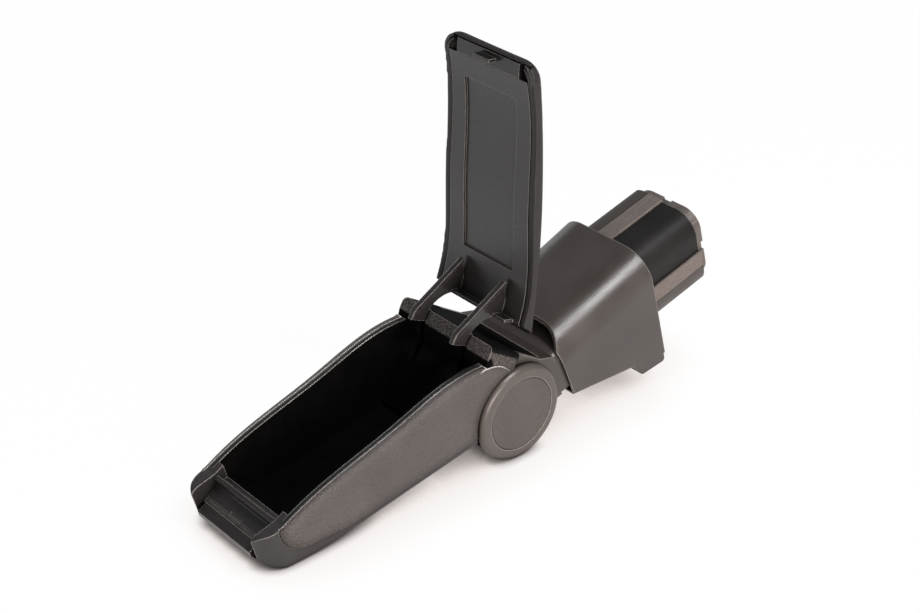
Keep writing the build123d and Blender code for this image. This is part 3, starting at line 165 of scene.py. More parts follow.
class Shader:
    """One node material. add() makes a node whose inputs take plain values or other nodes' outputs."""

    def __init__(self, name):
        self.material = bpy.data.materials.new(name)
        self.material.use_nodes = True
        self.tree = self.material.node_tree
        self.tree.nodes.clear()
        self.output = self.tree.nodes.new("ShaderNodeOutputMaterial")
        self.place = self.add("TexCoord").outputs["Object"]

    def put(self, socket, value):
        """Links another node's output to a socket, or sets the socket to a plain value."""
        if isinstance(value, bpy.types.NodeSocket):
            self.tree.links.new(value, socket)
        else:
            socket.default_value = value

    def add(self, kind, settings=None, **inputs):
        """New node with its settings and inputs; names of inputs have underscores for spaces."""
        node = self.tree.nodes.new("ShaderNode" + kind)
        for key, value in (settings or {}).items():
            setattr(node, key, value)
        for key, value in inputs.items():
            self.put(node.inputs[key.replace("_", " ")], value)
        return node

    def noise(self, size, detail=SOME_DETAIL, place=None):
        """Soft noise whose blotches are about that size in metres."""
        node = self.add("TexNoise", Vector=place or self.place, Scale=1 / size, Detail=detail)
        return node.outputs["Fac"]

    def cells(self, size, feature="SMOOTH_F1"):
        """Distance inside small cells of about that size in metres."""
        node = self.add("TexVoronoi", {"feature": feature}, Vector=self.place, Scale=1 / size)
        return node.outputs["Distance"]

    def math(self, operation, first, second=0.0):
        """One sum on two numbers; a sum on one number takes no notice of the second."""
        node = self.add("Math", {"operation": operation})
        self.put(node.inputs[0], first)
        self.put(node.inputs[1], second)
        return node.outputs[0]

    def times(self, first, second):
        """Product of two numbers."""
        return self.math("MULTIPLY", first, second)

    def dot(self, first, second):
        """Dot product of two vectors."""
        product = self.add("VectorMath", {"operation": "DOT_PRODUCT"})
        self.put(product.inputs[0], first)
        self.put(product.inputs[1], second)
        return product.outputs["Value"]

    def spread(self, value, span, to_span=FULL_RANGE):
        """A value carried from one range to another, and held at its ends."""
        low, high = span
        to_low, to_high = to_span
        node = self.add("MapRange", Value=value, From_Min=low, From_Max=high, To_Min=to_low, To_Max=to_high)
        return node.outputs["Result"]

    def blotches(self, noise, to_span=FULL_RANGE):
        """Soft noise carried from its usual range to another."""
        return self.spread(noise, NOISE_RANGE, to_span)

    def mix(self, factor, first, second):
        """Two colours mixed."""
        node = self.add("Mix", {"data_type": "RGBA"})
        self.put(node.inputs[0], factor)
        self.put(node.inputs[COLOUR_FIRST], first)
        self.put(node.inputs[COLOUR_SECOND], second)
        return node.outputs[COLOUR_RESULT]

    def blend(self, factor, first, second):
        """Two surfaces mixed."""
        node = self.add("MixShader")
        self.put(node.inputs[0], factor)
        self.put(node.inputs[1], first)
        self.put(node.inputs[2], second)
        return node.outputs[0]

    def stretched(self, place, scale):
        """Coordinates stretched along their axes."""
        return self.add("Mapping", Vector=place, Scale=scale).outputs["Vector"]

    def true_normal(self):
        """Normal of the mesh as it is."""
        return self.add("NewGeometry").outputs["Normal"]

    def softened(self, radius, samples=BEVEL_SAMPLES):
        """Normal with the edges softened by a radius."""
        return self.add("Bevel", {"samples": samples}, Radius=radius).outputs["Normal"]

    def rounded(self, radius):
        """Normal with the edges softened by a radius, and a mask that is 1 on those edges."""
        normal = self.softened(radius)
        return normal, self.spread(self.dot(normal, self.true_normal()), EDGE_RANGE)

    def along(self, direction):
        """How far the shaded point lies from the main hinge axis in a direction, in millimetres."""
        distance = self.math("SUBTRACT", self.dot(self.place, direction), HINGE.dot(direction))
        return self.times(distance, 1 / MM)

    def aside(self, direction):
        """As along(), but the same to both sides."""
        return self.math("ABSOLUTE", self.along(direction))

    def openness(self, reach, samples=OPENNESS_SAMPLES):
        """How open the space round the shaded point is within a reach, from 0 to 1."""
        return self.add("AmbientOcclusion", {"samples": samples}, Distance=reach).outputs["AO"]

    def bump(self, height, depth, normal=None):
        """Normal of a rough surface, on top of another normal if one is given."""
        node = self.add("Bump", Height=height, Distance=depth, Strength=BUMP_STRENGTH)
        if normal is not None:
            self.put(node.inputs["Normal"], normal)
        return node.outputs["Normal"]

    def surface(self, colour, roughness, normal, blackened=0.0, **constants):
        """Coated surface with painted shade that goes nearly black in gaps and nooks, and nearly black where a
        given mask says.
        """
        coat = self.add("BsdfPrincipled", Base_Color=colour, Roughness=roughness, Normal=normal)
        for key, value in constants.items():
            coat.inputs[key.replace("_", " ")].default_value = value
        # Painted shade: gaps and nooks, found by how open the space round the point is, turn to a near-black
        # diffuse
        gap_shade = self.spread(self.openness(GAP_REACH), GAP_RANGE, (0.0, GAP_SHADE_SHARE))
        nook_shade = self.spread(self.openness(NOOK_REACH), NOOK_RANGE, (0.0, NOOK_SHADE_SHARE))
        dark = self.math("MAXIMUM", self.math("MAXIMUM", gap_shade, nook_shade), blackened)
        shadow = self.add("BsdfDiffuse", Color=PAINTED_SHADE_TONE).outputs[0]
        self.put(self.output.inputs["Surface"], self.blend(dark, coat.outputs[0], shadow))
        return self.material


# Moulded plastic: slow drifts of tone and gloss, light specks, and edges worn lighter in patches, partly wear and
# partly a painted highlight
DRIFT_SIZE = 45 * MM
DRIFT_GLOSSIER = 0.04
DRIFT_DULLER = 0.05
SPECK_RANGE = (0.35, 0.75)
SPECK_SHARE = 0.35
RUB_SIZE = 6 * MM
RUB_RANGE = (0.35, 0.65)
RUB_LEAST = 0.7
RUB_POLISH = 0.10
EDGE_WEAR_AND_HIGHLIGHT = 0.65


def plastic_look(shader, dark, light, grain, depth, roughness, edge_radius):
    """Colour, gloss and normal of spark-eroded grained plastic, with edges worn smooth and lightened by wear and a
    painted highlight.
    """
    normal, edges = shader.rounded(edge_radius)
    drift = shader.noise(DRIFT_SIZE, MUCH_DETAIL)
    speck = shader.noise(grain, LITTLE_DETAIL)
    colour = shader.mix(shader.blotches(drift), dark, light)
    colour = shader.mix(shader.spread(speck, SPECK_RANGE, (0.0, SPECK_SHARE)), colour, light)
    worn_and_highlit = shader.times(edges, shader.spread(shader.noise(RUB_SIZE), RUB_RANGE, (RUB_LEAST, 1.0)))
    # Painted highlight, partly wear: the edges take a lighter tone in patches
    colour = shader.mix(shader.times(worn_and_highlit, EDGE_WEAR_AND_HIGHLIGHT), colour, WORN_EDGE_HIGHLIGHT_TONE)
    gloss = shader.blotches(drift, (roughness - DRIFT_GLOSSIER, roughness + DRIFT_DULLER))
    gloss = shader.math("SUBTRACT", gloss, shader.times(worn_and_highlit, RUB_POLISH))
    return colour, gloss, shader.bump(speck, depth, normal)


def moulded_plastic(name, dark, light, grain, depth, roughness, edge_radius, specular=0.5):
    """Plain moulded plastic."""
    shader = Shader(name)
    colour, gloss, normal = plastic_look(shader, dark, light, grain, depth, roughness, edge_radius)
    return shader.surface(colour, gloss, normal, Specular_IOR_Level=specular)


# Hinge housing: the grained crest, and where it goes nearly black as it closes the bin's rear, in millimetres from
# the hinge
CREST_FROM = 46.0
CREST_FADE = 6.0
REAR_BLACK_TO = -12.0
REAR_BLACK_TOP = 68.0
REAR_BLACK_FADE = 1.0

# Grain of the crest, its light flecks, and painted shade on the faces that are turned to the plug
CREST_CELL = 1.2 * MM
CREST_DEPTH = 0.80 * MM
CREST_RANGE = (0.1, 0.8)
FLECK_RANGE = (0.55, 0.85)
FLECK_SHARE = 0.55
BEHIND_RANGE = (0.05, 0.30)
BEHIND_SHADE_SHARE = 0.92


def housing_plastic(name):
    """Dark plastic, grained on the crest; nearly black on faces turned to the plug, by painted shade, and where it
    closes the bin's rear.
    """
    shader = Shader(name)
    colour, gloss, normal = plastic_look(
        shader, SATIN_LIGHT, SHELL_DARK, grain=0.9 * MM, depth=0.12 * MM, roughness=0.42,
        edge_radius=1.4 * MM)
    up = shader.along(UP)
    crest = shader.spread(up, (CREST_FROM, CREST_FROM + CREST_FADE))
    cells = shader.spread(shader.cells(CREST_CELL), CREST_RANGE, FALLING_RANGE)
    normal = shader.bump(shader.times(cells, crest), CREST_DEPTH, normal)
    flecks = shader.times(crest, shader.spread(cells, FLECK_RANGE, (0.0, FLECK_SHARE)))
    colour = shader.mix(flecks, colour, CREST_TONE)
    # Painted shade: faces turned to the plug go nearly black
    behind_shade = shader.spread(shader.dot(shader.true_normal(), ALONG), BEHIND_RANGE, (0.0, BEHIND_SHADE_SHARE))
    blackened = shader.spread(shader.along(ALONG), (REAR_BLACK_TO, REAR_BLACK_TO - REAR_BLACK_FADE))
    blackened = shader.times(blackened, shader.spread(up, (REAR_BLACK_TOP + REAR_BLACK_FADE, REAR_BLACK_TOP)))
    blackened = shader.math("MAXIMUM", blackened, behind_shade)
    return shader.surface(colour, gloss, normal, blackened, Specular_IOR_Level=0.3)


# Crease of the shroud: its place in millimetres from the hinge, and its slope
CREASE_ACROSS = 24.0
CREASE_START = 60.0
CREASE_END = 125.0
CREASE_UP = (15.0, 25.0)
CREASE_SLOPE = 0.06


def shroud_plastic(name):
    """Sparkling shell plastic with a soft crease along each shoulder, which fades towards the plug."""
    shader = Shader(name)
    colour, gloss, normal = plastic_look(
        shader, SHELL_DARK, SHELL_LIGHT, grain=0.9 * MM, depth=0.32 * MM, roughness=0.33,
        edge_radius=1.5 * MM)
    past = shader.math("MAXIMUM", shader.math("SUBTRACT", shader.aside(ACROSS), CREASE_ACROSS), 0.0)
    fade = shader.spread(shader.along(ALONG), (CREASE_END, CREASE_START))
    top_only = shader.spread(shader.along(UP), CREASE_UP)
    fold = shader.times(shader.times(past, fade), top_only)
    normal = shader.bump(fold, -CREASE_SLOPE * MM, normal)
    return shader.surface(colour, gloss, normal, Specular_IOR_Level=0.5)


# Grained plastic: edges with painted light and shade by the way they face, valleys between the cells, and finer
# noise on them
EDGE_WIDTH = 1.5 * MM
EDGE_SHARE = 0.90
EDGE_FACING = (0.02, 0.22)
VALLEY_RANGE = (0.15, 0.75)
VALLEY_SHARE = 0.45
FINE_OF_CELL = 0.5
FINE_SHARE = 0.5
GRAIN_DRIFT_SIZE = 40 * MM
GRAIN_DRIFT_SHARE = 0.6
GRAIN_GLOSS_FROM = (0.2, 1.4)
GRAIN_GLOSS_TO = (0.38, 0.56)


def grained_plastic(name, dark, light, painted_upper_edge, painted_lower_edge, cell, depth, crown):
    """Moulded leather grain: small flat cells with soft valleys, and painted light and shade on edges by the way
    they face.

    Its normal is softened by the crown, so that a flat panel seems to roll towards its edges.
    """
    shader = Shader(name)
    _, edges = shader.rounded(EDGE_WIDTH)
    normal = shader.softened(crown, 2 * BEVEL_SAMPLES)
    fine = shader.noise(FINE_OF_CELL * cell, LITTLE_DETAIL)
    drift = shader.noise(GRAIN_DRIFT_SIZE, MUCH_DETAIL)
    valley = shader.spread(shader.cells(cell), VALLEY_RANGE)
    colour = shader.mix(shader.blotches(drift), dark, light)
    colour = shader.mix(shader.times(valley, VALLEY_SHARE), colour, VALLEY_TONE)
    # Painted light and shade: edges take the upper tone where they face up and the lower tone where they face down
    painted_edge_tone = shader.mix(shader.spread(shader.dot(normal, UP), EDGE_FACING), painted_lower_edge, painted_upper_edge)
    colour = shader.mix(shader.times(edges, EDGE_SHARE), colour, painted_edge_tone)
    height = shader.math("ADD", shader.times(valley, -1.0), shader.times(fine, FINE_SHARE))
    height = shader.times(height, shader.math("SUBTRACT", 1.0, edges))
    dull = shader.math("ADD", valley, shader.times(drift, GRAIN_DRIFT_SHARE))
    gloss = shader.spread(dull, GRAIN_GLOSS_FROM, GRAIN_GLOSS_TO)
    return shader.surface(colour, gloss, shader.bump(height, depth, normal), Specular_IOR_Level=0.5)


# Grip strips: half the width of the felted part, and where the painted shade of the line past it fades and ends,
# in millimetres
STRIP_HALF = 14.0
STRIP_FADE = 0.4
SEAM_FADES = 0.8
SEAM_ENDS = 1.2

# Fibres and pits of the felt, its worn places, the painted shade on its edges, and the smooth part past it
FIBRE_SIZE = 1.1 * MM
FIBRE_STRETCH = (0.18, 1.0, 1.0)
PIT_SIZE = 0.7 * MM
PIT_SHARE = 0.6
FELT_DEPTH = 0.3 * MM
FELT_GLOSS = (0.74, 0.92)
FELT_EDGE_RADIUS = 0.9 * MM
FELT_EDGE_SHADE_SHARE = 0.6
WORN_SIZE = 14 * MM
WORN_RANGE = (0.35, 0.7)
WORN_SHARE = 0.5
SMOOTH_RELIEF = 0.15
SMOOTH_POLISH = 0.42


def strip_rubber(name):
    """Felted foam strip, brown-grey with fibres along the plug, and smooth plastic past its width."""
    shader = Shader(name)
    pitch = math.radians(PITCH)
    turned = shader.add("VectorRotate", {"rotation_type": "Y_AXIS"}, Vector=shader.place, Angle=pitch)
    fibre_place = shader.stretched(turned.outputs["Vector"], FIBRE_STRETCH)
    fibre = shader.noise(FIBRE_SIZE, MUCH_DETAIL, fibre_place)
    normal, edges = shader.rounded(FELT_EDGE_RADIUS)
    pits = shader.noise(PIT_SIZE, LITTLE_DETAIL)
    worn = shader.noise(WORN_SIZE, MUCH_DETAIL)
    colour = shader.mix(shader.blotches(fibre), STRIP_DARK, STRIP_LIGHT)
    colour = shader.mix(shader.spread(worn, WORN_RANGE, (0.0, WORN_SHARE)), colour, STRIP_WORN)
    past = shader.math("MINIMUM", shader.aside(ACROSS), shader.aside(UP))
    smooth = shader.spread(past, (STRIP_HALF, STRIP_HALF + STRIP_FADE))
    # Painted shade: a dark line just past the felt, where the proud strip stands off the plug, and on the felt's
    # edges
    painted_seam_shade = shader.times(smooth, shader.spread(past, (STRIP_HALF + SEAM_ENDS, STRIP_HALF + SEAM_FADES)))
    colour = shader.mix(smooth, colour, SHELL_LIGHT)
    painted_seam_shade = shader.math("MAXIMUM", shader.times(edges, FELT_EDGE_SHADE_SHARE), painted_seam_shade)
    colour = shader.mix(painted_seam_shade, colour, PAINTED_SHADE_TONE)
    height = shader.math("ADD", fibre, shader.times(pits, PIT_SHARE))
    height = shader.times(height, shader.spread(smooth, FULL_RANGE, (1.0, SMOOTH_RELIEF)))
    gloss = shader.blotches(worn, FELT_GLOSS)
    gloss = shader.math("SUBTRACT", gloss, shader.times(smooth, SMOOTH_POLISH))
    return shader.surface(colour, gloss, shader.bump(height, FELT_DEPTH, normal), Specular_IOR_Level=0.45)


# Flock
FLOCK_SIZE = 0.6 * MM
FLOCK_DEPTH = 0.3 * MM
FLOCK_GLOSS = (0.9, 1.0)
NAP_SIZE = 18 * MM


def flocked_lining(name):
    """Short black flock: hardly any gloss, and a faint sheen where it is seen edge on."""
    shader = Shader(name)
    flock = shader.noise(FLOCK_SIZE)
    nap = shader.noise(NAP_SIZE)
    colour = shader.mix(shader.blotches(nap), FLOCK_DARK, FLOCK_LIGHT)
    gloss = shader.blotches(flock, FLOCK_GLOSS)
    return shader.surface(colour, gloss, shader.bump(flock, FLOCK_DEPTH), Specular_IOR_Level=0.02,
                          Sheen_Weight=0.01, Sheen_Roughness=0.4)


# Leatherette: creases of the grain, pores, and slow drifts of tone and gloss
LEATHER_CELL = 1.5 * MM
LEATHER_DEPTH = 0.15 * MM
LEATHER_CREASE = (0.02, 0.22)
LEATHER_CREASE_SHARE = 0.4
PORE_SIZE = 0.5 * MM
PORE_SHARE = 0.3
LEATHER_DRIFT_SIZE = 30 * MM
LEATHER_DULLER = 0.12


def leatherette(name, smoothest, specular):
    """Pressed leather grain on thin coated cloth, whose roughness starts at the smoothest."""
    shader = Shader(name)
    flat = shader.spread(shader.cells(LEATHER_CELL, "DISTANCE_TO_EDGE"), LEATHER_CREASE)
    pores = shader.noise(PORE_SIZE, LITTLE_DETAIL)
    drift = shader.noise(LEATHER_DRIFT_SIZE, MUCH_DETAIL)
    colour = shader.mix(shader.blotches(drift), LEATHER_DARK, LEATHER_LIGHT)
    crease = shader.spread(flat, FULL_RANGE, (LEATHER_CREASE_SHARE, 0.0))
    colour = shader.mix(crease, colour, VALLEY_TONE)
    height = shader.math("ADD", flat, shader.times(pores, PORE_SHARE))
    gloss = shader.blotches(drift, (smoothest, smoothest + LEATHER_DULLER))
    return shader.surface(colour, gloss, shader.bump(height, LEATHER_DEPTH), Specular_IOR_Level=specular)


# Steel
MARK_SIZE = 0.4 * MM
MARK_STRETCH = (1.0, 0.1, 1.0)
MARK_DEPTH = 0.05 * MM
ZINC_SIZE = 5 * MM
ZINC_GLOSS = (0.28, 0.44)


def turned_steel(name):
    """Zinc-plated steel with faint turning marks."""
    shader = Shader(name)
    marks = shader.noise(MARK_SIZE, LITTLE_DETAIL, shader.stretched(shader.place, MARK_STRETCH))
    zinc = shader.noise(ZINC_SIZE)
    colour = shader.mix(shader.blotches(zinc), STEEL_DARK, STEEL_LIGHT)
    gloss = shader.blotches(zinc, ZINC_GLOSS)
    return shader.surface(colour, gloss, shader.bump(marks, MARK_DEPTH), Metallic=1.0)


# Finish of each slot
FINISHES = {
    "shell_plastic": moulded_plastic(
        "shell_plastic", SHELL_DARK, SHELL_LIGHT,
        grain=1.0 * MM, depth=0.18 * MM, roughness=0.32, edge_radius=1.3 * MM),
    # Side panels: a painted highlight on edges that face up and painted shade on edges that face down
    "grained_plastic": grained_plastic(
        "grained_plastic", PANEL_DARK, PANEL_LIGHT, PAINTED_EDGE_HIGHLIGHT, PAINTED_SHADE_TONE,
        cell=1.1 * MM, depth=0.70 * MM, crown=14 * MM),
    "satin_plastic": moulded_plastic(
        "satin_plastic", SATIN_DARK, SATIN_LIGHT,
        grain=0.6 * MM, depth=0.02 * MM, roughness=0.28, edge_radius=1.0 * MM),
    "strip_rubber": strip_rubber("strip_rubber"),
    "steel": turned_steel("steel"),
    "flocked_lining": flocked_lining("flocked_lining"),
    "leatherette": leatherette("leatherette", smoothest=0.36, specular=0.22),
}

# Finishes of pieces that differ from the rest of their slot
DISC_FINISH = moulded_plastic(
    "disc_plastic", PANEL_DARK, PANEL_LIGHT,
    grain=0.8 * MM, depth=0.10 * MM, roughness=0.34, edge_radius=2.2 * MM)
# Disc inserts: painted shade on their edges all round, for the groove between insert and rim
INSERT_FINISH = grained_plastic(
    "insert_plastic", INSERT_DARK, INSERT_LIGHT, PAINTED_SHADE_TONE, PAINTED_SHADE_TONE,
    cell=0.9 * MM, depth=0.12 * MM, crown=1.5 * MM)
BIN_FINISH = moulded_plastic(
    "bin_plastic", SATIN_DARK, SATIN_LIGHT,
    grain=0.9 * MM, depth=0.15 * MM, roughness=0.34, edge_radius=1.3 * MM)
FOLD_FINISH = leatherette("folded_leatherette", smoothest=0.22, specular=0.6)
GLOSS_BLACK = moulded_plastic(
    "gloss_black", BLACK_DARK, BLACK_LIGHT,
    grain=0.8 * MM, depth=0.01 * MM, roughness=0.26, edge_radius=0.8 * MM)
PLUG_FINISH = moulded_plastic(
    "plug_plastic", BLACK_DARK, BLACK_LIGHT,
    grain=1.1 * MM, depth=0.25 * MM, roughness=0.46, edge_radius=1.0 * MM, specular=0.15)
COLLAR_FINISH = moulded_plastic(
    "collar_plastic", PANEL_LIGHT, STRIP_WORN,
    grain=1.0 * MM, depth=0.15 * MM, roughness=0.46, edge_radius=0.9 * MM)
OWN_FINISHES = {
    "hinge_housing": housing_plastic("housing_plastic"),
    "base_shroud": shroud_plastic("shroud_plastic"),
    "disc_rim_near": DISC_FINISH,
    "disc_rim_far": DISC_FINISH,
    "disc_insert_near": INSERT_FINISH,
    "disc_insert_far": INSERT_FINISH,
    "plug_core": PLUG_FINISH,
    "plug_collar": COLLAR_FINISH,
    "bin_shell": BIN_FINISH,
    "lid_catch": GLOSS_BLACK,
}


def dress(piece, finish):
    """Gives a piece one finish all over."""
    piece.data.materials.clear()
    piece.data.materials.append(finish)


SLOT_OF = {entry["node"]: entry["material_slot"] for entry in frame["record"]["subparts"]}
for node_name, node_object in frame["nodes"].items():
    dress(node_object, OWN_FINISHES.get(node_name, FINISHES[SLOT_OF[node_name]]))

# The padded lid

PAD_VOXEL = 1.2 * MM
PAD_EVEN_SHARE = 0.5
PAD_EVEN_TIMES = 4
PAD_PRESSURE = 4.0
PAD_FRAMES = 20
PAD_SWELL_CAP = 1.2 * MM
PAD_HOLD = 0.6

# Height of the closed lid's inner side, and the pockets at its front corners, in millimetres as for in_arm
LID_UNDER = 57.7
POCKET_DEPTH = 4.0
POCKET_FRONT = (-236.8, -235.0)
POCKET_REAR = (-222.0, -225.0)
POCKET_INNER = (33.0, 35.0)
POCKET_OUTER = (45.5, 43.0)


def apply_modifiers(piece):
    """Bakes a piece's modifiers into its mesh."""
    depsgraph = bpy.context.evaluated_depsgraph_get()
    baked = bpy.data.meshes.new_from_object(piece.evaluated_get(depsgraph))
    piece.modifiers.clear()
    piece.data = baked


def press_corners(pad):
    """Sinks the inner side of the pad between the catch and the folded cover at both front corners."""
    for vertex in pad.data.vertices:
        along, across, up = from_lid(vertex.co)
        if up > LID_UNDER + POCKET_DEPTH:
            continue
        sink = ramp(along, *POCKET_FRONT) * ramp(along, *POCKET_REAR)
        sink *= ramp(abs(across), *POCKET_INNER) * ramp(abs(across), *POCKET_OUTER)
        vertex.co -= LID_INNER * (sink * POCKET_DEPTH * MM)


def swell(pad):
    """Cloth under pressure, held on its inner side, with each point's travel capped."""
    held = pad.vertex_groups.new(name="held")
    for vertex in pad.data.vertices:
        inward = vertex.normal.dot(LID_INNER)
        held.add([vertex.index], min(1.0, max(0.0, PAD_HOLD + inward)), "REPLACE")
    start = [vertex.co.copy() for vertex in pad.data.vertices]
    cloth = pad.modifiers.new("Cloth", "CLOTH")
    cloth.settings.vertex_group_mass = "held"
    cloth.settings.use_pressure = True
    cloth.settings.uniform_pressure_force = PAD_PRESSURE
    cloth.settings.effector_weights.gravity = 0
    scene = bpy.context.scene
    for step in range(1, PAD_FRAMES + 1):
        scene.frame_set(step)
    apply_modifiers(pad)
    for vertex, before in zip(pad.data.vertices, start):
        travel = vertex.co - before
        if travel.length > PAD_SWELL_CAP:
            vertex.co = before + travel.normalized() * PAD_SWELL_CAP
    scene.frame_set(1)


def padded_lid():
    """Foam pad in a pulled cover: the outer crown swells, and the inner side stays where it is held."""
    source = frame["nodes"]["lid_pad"]
    pad = bpy.data.objects.new("lid_cushion", source.data.copy())
    bpy.context.scene.collection.objects.link(pad)
    remesh = pad.modifiers.new("Remesh", "REMESH")
    remesh.mode = "VOXEL"
    remesh.voxel_size = PAD_VOXEL
    remesh.use_smooth_shade = True
    even = pad.modifiers.new("Even", "SMOOTH")
    even.factor = PAD_EVEN_SHARE
    even.iterations = PAD_EVEN_TIMES
    apply_modifiers(pad)
    press_corners(pad)
    swell(pad)
    for face in pad.data.polygons:
        face.use_smooth = True
    dress(pad, FINISHES["leatherette"])
    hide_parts("lid_pad")
    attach(pad, "lid")


padded_lid()

# Small features that ride on the moulded pieces

SIDES = (("near", -1), ("far", 1))

# Corners of a face between two rings of a swept solid; its end faces have more, and stay flat
RING_FACE_CORNERS = 4

# Crown of the bin's rim, in millimetres as for in_arm
RIM_ACROSS = 46.75
RIM_HALF = 2.1
RIM_CROWN = 0.45
RIM_FROM = -24.0
RIM_TO = -221.5
RIM_STATIONS = 90
RIM_ARC_STEPS = 10
ABOVE_RIM = 120.0

# Corners of the lid and the folds of the cover round them, in millimetres as for in_arm
LID_CORNER_ROUND = 15.0
LID_CORNER_ALONG = -222.8
LID_CORNER_ACROSS = 35.0
FOLD_INSETS = (2.0, 4.6)
FOLD_RADIUS = 1.15
FOLD_SUNK = 0.75

# Turns where a fold starts and ends, in degrees, and its stations, waves and taper
FOLD_FROM = -8.0
FOLD_TO = 68.0
FOLD_STATIONS = 42
FOLD_FACETS = 10
FOLD_WAVE = 0.22
FOLD_WAVE_STEPS = 3
FOLD_TAPER = 0.3


def swept(name, stations, profile, finish, body):
    """Solid with a closed cross-section, in millimetres, along stations of (place, side, up, scale)."""
    mesh = bmesh.new()
    rings = []
    for place, side, up, scale in stations:
        rings.append([mesh.verts.new(place + (side * x + up * z) * (scale * MM)) for x, z in profile])
    count = len(profile)
    for first, second in zip(rings, rings[1:]):
        for step in range(count):
            after = (step + 1) % count
            mesh.faces.new((first[step], first[after], second[after], second[step]))
    mesh.faces.new(list(reversed(rings[0])))
    mesh.faces.new(rings[-1])
    bmesh.ops.recalc_face_normals(mesh, faces=mesh.faces)
    data = bpy.data.meshes.new(name)
    mesh.to_mesh(data)
    mesh.free()
    for face in data.polygons:
        face.use_smooth = len(face.vertices) == RING_FACE_CORNERS
    piece = bpy.data.objects.new(name, data)
    bpy.context.scene.collection.objects.link(piece)
    dress(piece, finish)
    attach(piece, body)


def rim_beads():
    """Low glossy crown along the rim of the bin on both sides."""
    shell = frame["nodes"]["bin_shell"]
    turns = [math.pi * step / RIM_ARC_STEPS for step in range(RIM_ARC_STEPS + 1)]
    profile = [(RIM_HALF * math.cos(turn), RIM_CROWN * math.sin(turn)) for turn in turns]
    profile += [(-RIM_HALF, -RIM_CROWN), (RIM_HALF, -RIM_CROWN)]
    for label, side in SIDES:
        places = []
        for step in range(RIM_STATIONS + 1):
            along = RIM_FROM + (RIM_TO - RIM_FROM) * step / RIM_STATIONS
            hit, place, _, _ = shell.ray_cast(in_arm(along, side * RIM_ACROSS, ABOVE_RIM), -UP)
            if hit:
                places.append(place)
        stations = []
        for step, place in enumerate(places):
            run = places[min(step + 1, len(places) - 1)] - places[max(step - 1, 0)]
            stations.append((place, ACROSS, ACROSS.cross(run).normalized(), 1.0))
        swept("rim_bead_" + label, stations, profile, GLOSS_BLACK, "arm")


def cover_folds():
    """Two gathered folds of the cover round each front corner of the lid's inner side."""
    turns = [math.tau * step / FOLD_FACETS for step in range(FOLD_FACETS)]
    profile = [(math.cos(turn), math.sin(turn)) for turn in turns]
    for label, side in SIDES:
        for order, inset in enumerate(FOLD_INSETS):
            reach = LID_CORNER_ROUND - inset
            stations = []
            for step in range(FOLD_STATIONS + 1):
                turn = math.radians(FOLD_FROM + (FOLD_TO - FOLD_FROM) * step / FOLD_STATIONS)
                along = LID_CORNER_ALONG - reach * math.sin(turn)
                across = side * (LID_CORNER_ACROSS + reach * math.cos(turn))
                place = in_lid(along, across, LID_UNDER + FOLD_SUNK)
                outward = LID_TO_REST @ (ACROSS * (side * math.cos(turn)) - ALONG * math.sin(turn))
                wave = 1.0 + FOLD_WAVE * math.sin(math.tau * step / FOLD_WAVE_STEPS)
                taper = math.sin(math.pi * (step + 0.5) / (FOLD_STATIONS + 1)) ** FOLD_TAPER
                stations.append((place, outward, LID_INNER, FOLD_RADIUS * wave * taper))
            swept(f"cover_fold_{label}_{order}", stations, profile, FOLD_FINISH, "lid")


rim_beads()
cover_folds()

# Studio: pale floor, soft lamps and the camera

FLOOR_HALF = 4.0
FLOOR_SAMPLES = 12
FLOOR_SHOWN = 0.97

# Shadows on the floor: reach, and the openness at which each is full and at which it ends
WIDE_REACH = 0.07
WIDE_RANGE = (0.25, 0.88)
CLOSE_REACH = 0.045
CLOSE_RANGE = (0.06, 0.42)
TOUCH_REACH = 0.012
TOUCH_RANGE = (0.15, 0.80)


def pale_floor():
    """Wide white floor, with shadow painted into its colour close to what stands on it."""
    half = FLOOR_HALF
    mesh = bpy.data.meshes.new("floor")
    corners = [(-half, -half, 0), (half, -half, 0), (half, half, 0), (-half, half, 0)]
    mesh.from_pydata(corners, [], [(0, 1, 2, 3)])
    floor = bpy.data.objects.new("floor", mesh)
    bpy.context.scene.collection.objects.link(floor)
    shader = Shader("pale_floor")
    wide = shader.spread(shader.openness(WIDE_REACH, FLOOR_SAMPLES), WIDE_RANGE)
    close = shader.spread(shader.openness(CLOSE_REACH, FLOOR_SAMPLES), CLOSE_RANGE)
    touch = shader.spread(shader.openness(TOUCH_REACH, FLOOR_SAMPLES), TOUCH_RANGE)
    # Painted shadow: the floor's colour darkens where little is open round it
    shade = shader.mix(wide, FLOOR_SHADE, WHITE)
    shade = shader.mix(close, FLOOR_CONTACT_SHADOW, shade)
    shade = shader.mix(touch, FLOOR_CONTACT_SHADOW, shade)
    shown = shader.add("Emission", Color=shade, Strength=1.0).outputs[0]
    lit = shader.add("BsdfDiffuse", Color=FLOOR_LIT).outputs[0]
    path = shader.add("LightPath")
    seen = shader.math("MAXIMUM", path.outputs["Is Camera Ray"], path.outputs["Is Glossy Ray"])
    seen = shader.math("MAXIMUM", seen, path.outputs["Is Transmission Ray"])
    floor_look = shader.blend(shader.times(seen, FLOOR_SHOWN), lit, shown)
    shader.put(shader.output.inputs["Surface"], floor_look)
    mesh.materials.append(shader.material)


def soft_lamp(name, place, aim, width, height, watts, colour=(1.0, 1.0, 1.0)):
    """Rectangular soft box turned to a point."""
    lamp = bpy.data.lights.new(name, "AREA")
    lamp.shape = "RECTANGLE"
    lamp.size = width
    lamp.size_y = height
    lamp.energy = watts
    lamp.color = colour
    box = bpy.data.objects.new(name, lamp)
    box.location = place
    box.rotation_euler = (Vector(aim) - Vector(place)).to_track_quat("-Z", "Y").to_euler()
    bpy.context.scene.collection.objects.link(box)


# How steeply a direction rises, as a sine, where the world has its horizon level and its overhead level
HORIZON_RISE = 0.05
OVERHEAD_RISE = 0.70


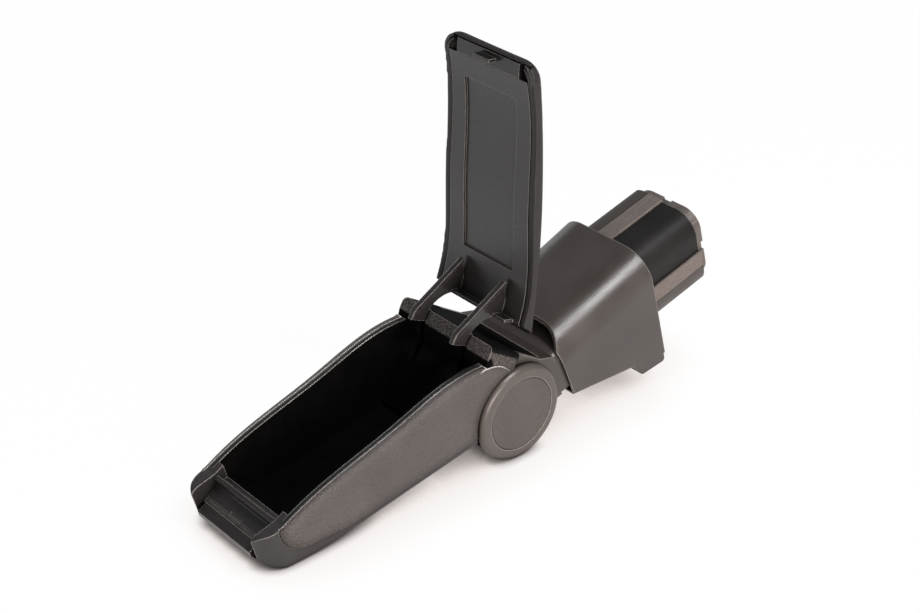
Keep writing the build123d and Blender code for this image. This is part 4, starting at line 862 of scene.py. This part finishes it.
def world_light(overhead, horizon):
    """Light from all round, dimmer overhead than low down, and white where the camera sees it."""
    world = bpy.data.worlds.new("studio")
    world.use_nodes = True
    nodes = world.node_tree.nodes
    links = world.node_tree.links
    background = nodes["Background"]
    background.inputs["Color"].default_value = WHITE
    split = nodes.new("ShaderNodeSeparateXYZ")
    links.new(nodes.new("ShaderNodeTexCoord").outputs["Generated"], split.inputs[0])
    fall = nodes.new("ShaderNodeMapRange")
    links.new(split.outputs["Z"], fall.inputs["Value"])
    fall.inputs["From Min"].default_value = HORIZON_RISE
    fall.inputs["From Max"].default_value = OVERHEAD_RISE
    fall.inputs["To Min"].default_value = horizon
    fall.inputs["To Max"].default_value = overhead
    level = nodes.new("ShaderNodeMix")
    links.new(nodes.new("ShaderNodeLightPath").outputs["Is Camera Ray"], level.inputs[0])
    links.new(fall.outputs["Result"], level.inputs[NUMBER_FIRST])
    level.inputs[NUMBER_SECOND].default_value = 1.0
    links.new(level.outputs[0], background.inputs["Strength"])
    bpy.context.scene.world = world


# The camera's place from the main hinge axis, and its turn, as fitted to the photograph's view
CAMERA_FROM_HINGE = Vector((-844.10, -953.79, 825.50)) * MM
CAMERA_TILT = 90.0 - 30.543
CAMERA_TURN = -40.979

# Focal length and sensor width, in millimetres
CAMERA_LENS = 72.39
CAMERA_SENSOR = 36.0


def photo_camera():
    """Camera at the photograph's viewing angle."""
    lens = bpy.data.cameras.new("camera")
    lens.lens = CAMERA_LENS
    lens.sensor_width = CAMERA_SENSOR
    camera = bpy.data.objects.new("camera", lens)
    camera.location = HINGE + CAMERA_FROM_HINGE
    camera.rotation_euler = (math.radians(CAMERA_TILT), 0, math.radians(CAMERA_TURN))
    bpy.context.scene.collection.objects.link(camera)
    bpy.context.scene.camera = camera


pale_floor()
world_light(overhead=0.22, horizon=0.30)
soft_lamp("near_lamp", place=(-0.5, -1.65, 0.35), aim=(0.0, 0.0, 0.10), width=1.3, height=0.7, watts=38.0,
          colour=(1.0, 0.88, 0.82))
soft_lamp("key_lamp", place=(0.20, -0.87, 1.46), aim=(0.1, 0.0, 0.12), width=0.30, height=0.30, watts=26.0)
soft_lamp("left_lamp", place=(-1.8, 0.1, 0.7), aim=(0.0, 0.0, 0.15), width=0.8, height=0.9, watts=3.0)
soft_lamp("far_lamp", place=(0.2, 1.9, 0.7), aim=(0.0, 0.0, 0.10), width=1.2, height=0.6, watts=7.0)
photo_camera()
bpy.context.scene.view_settings.view_transform = "Standard"
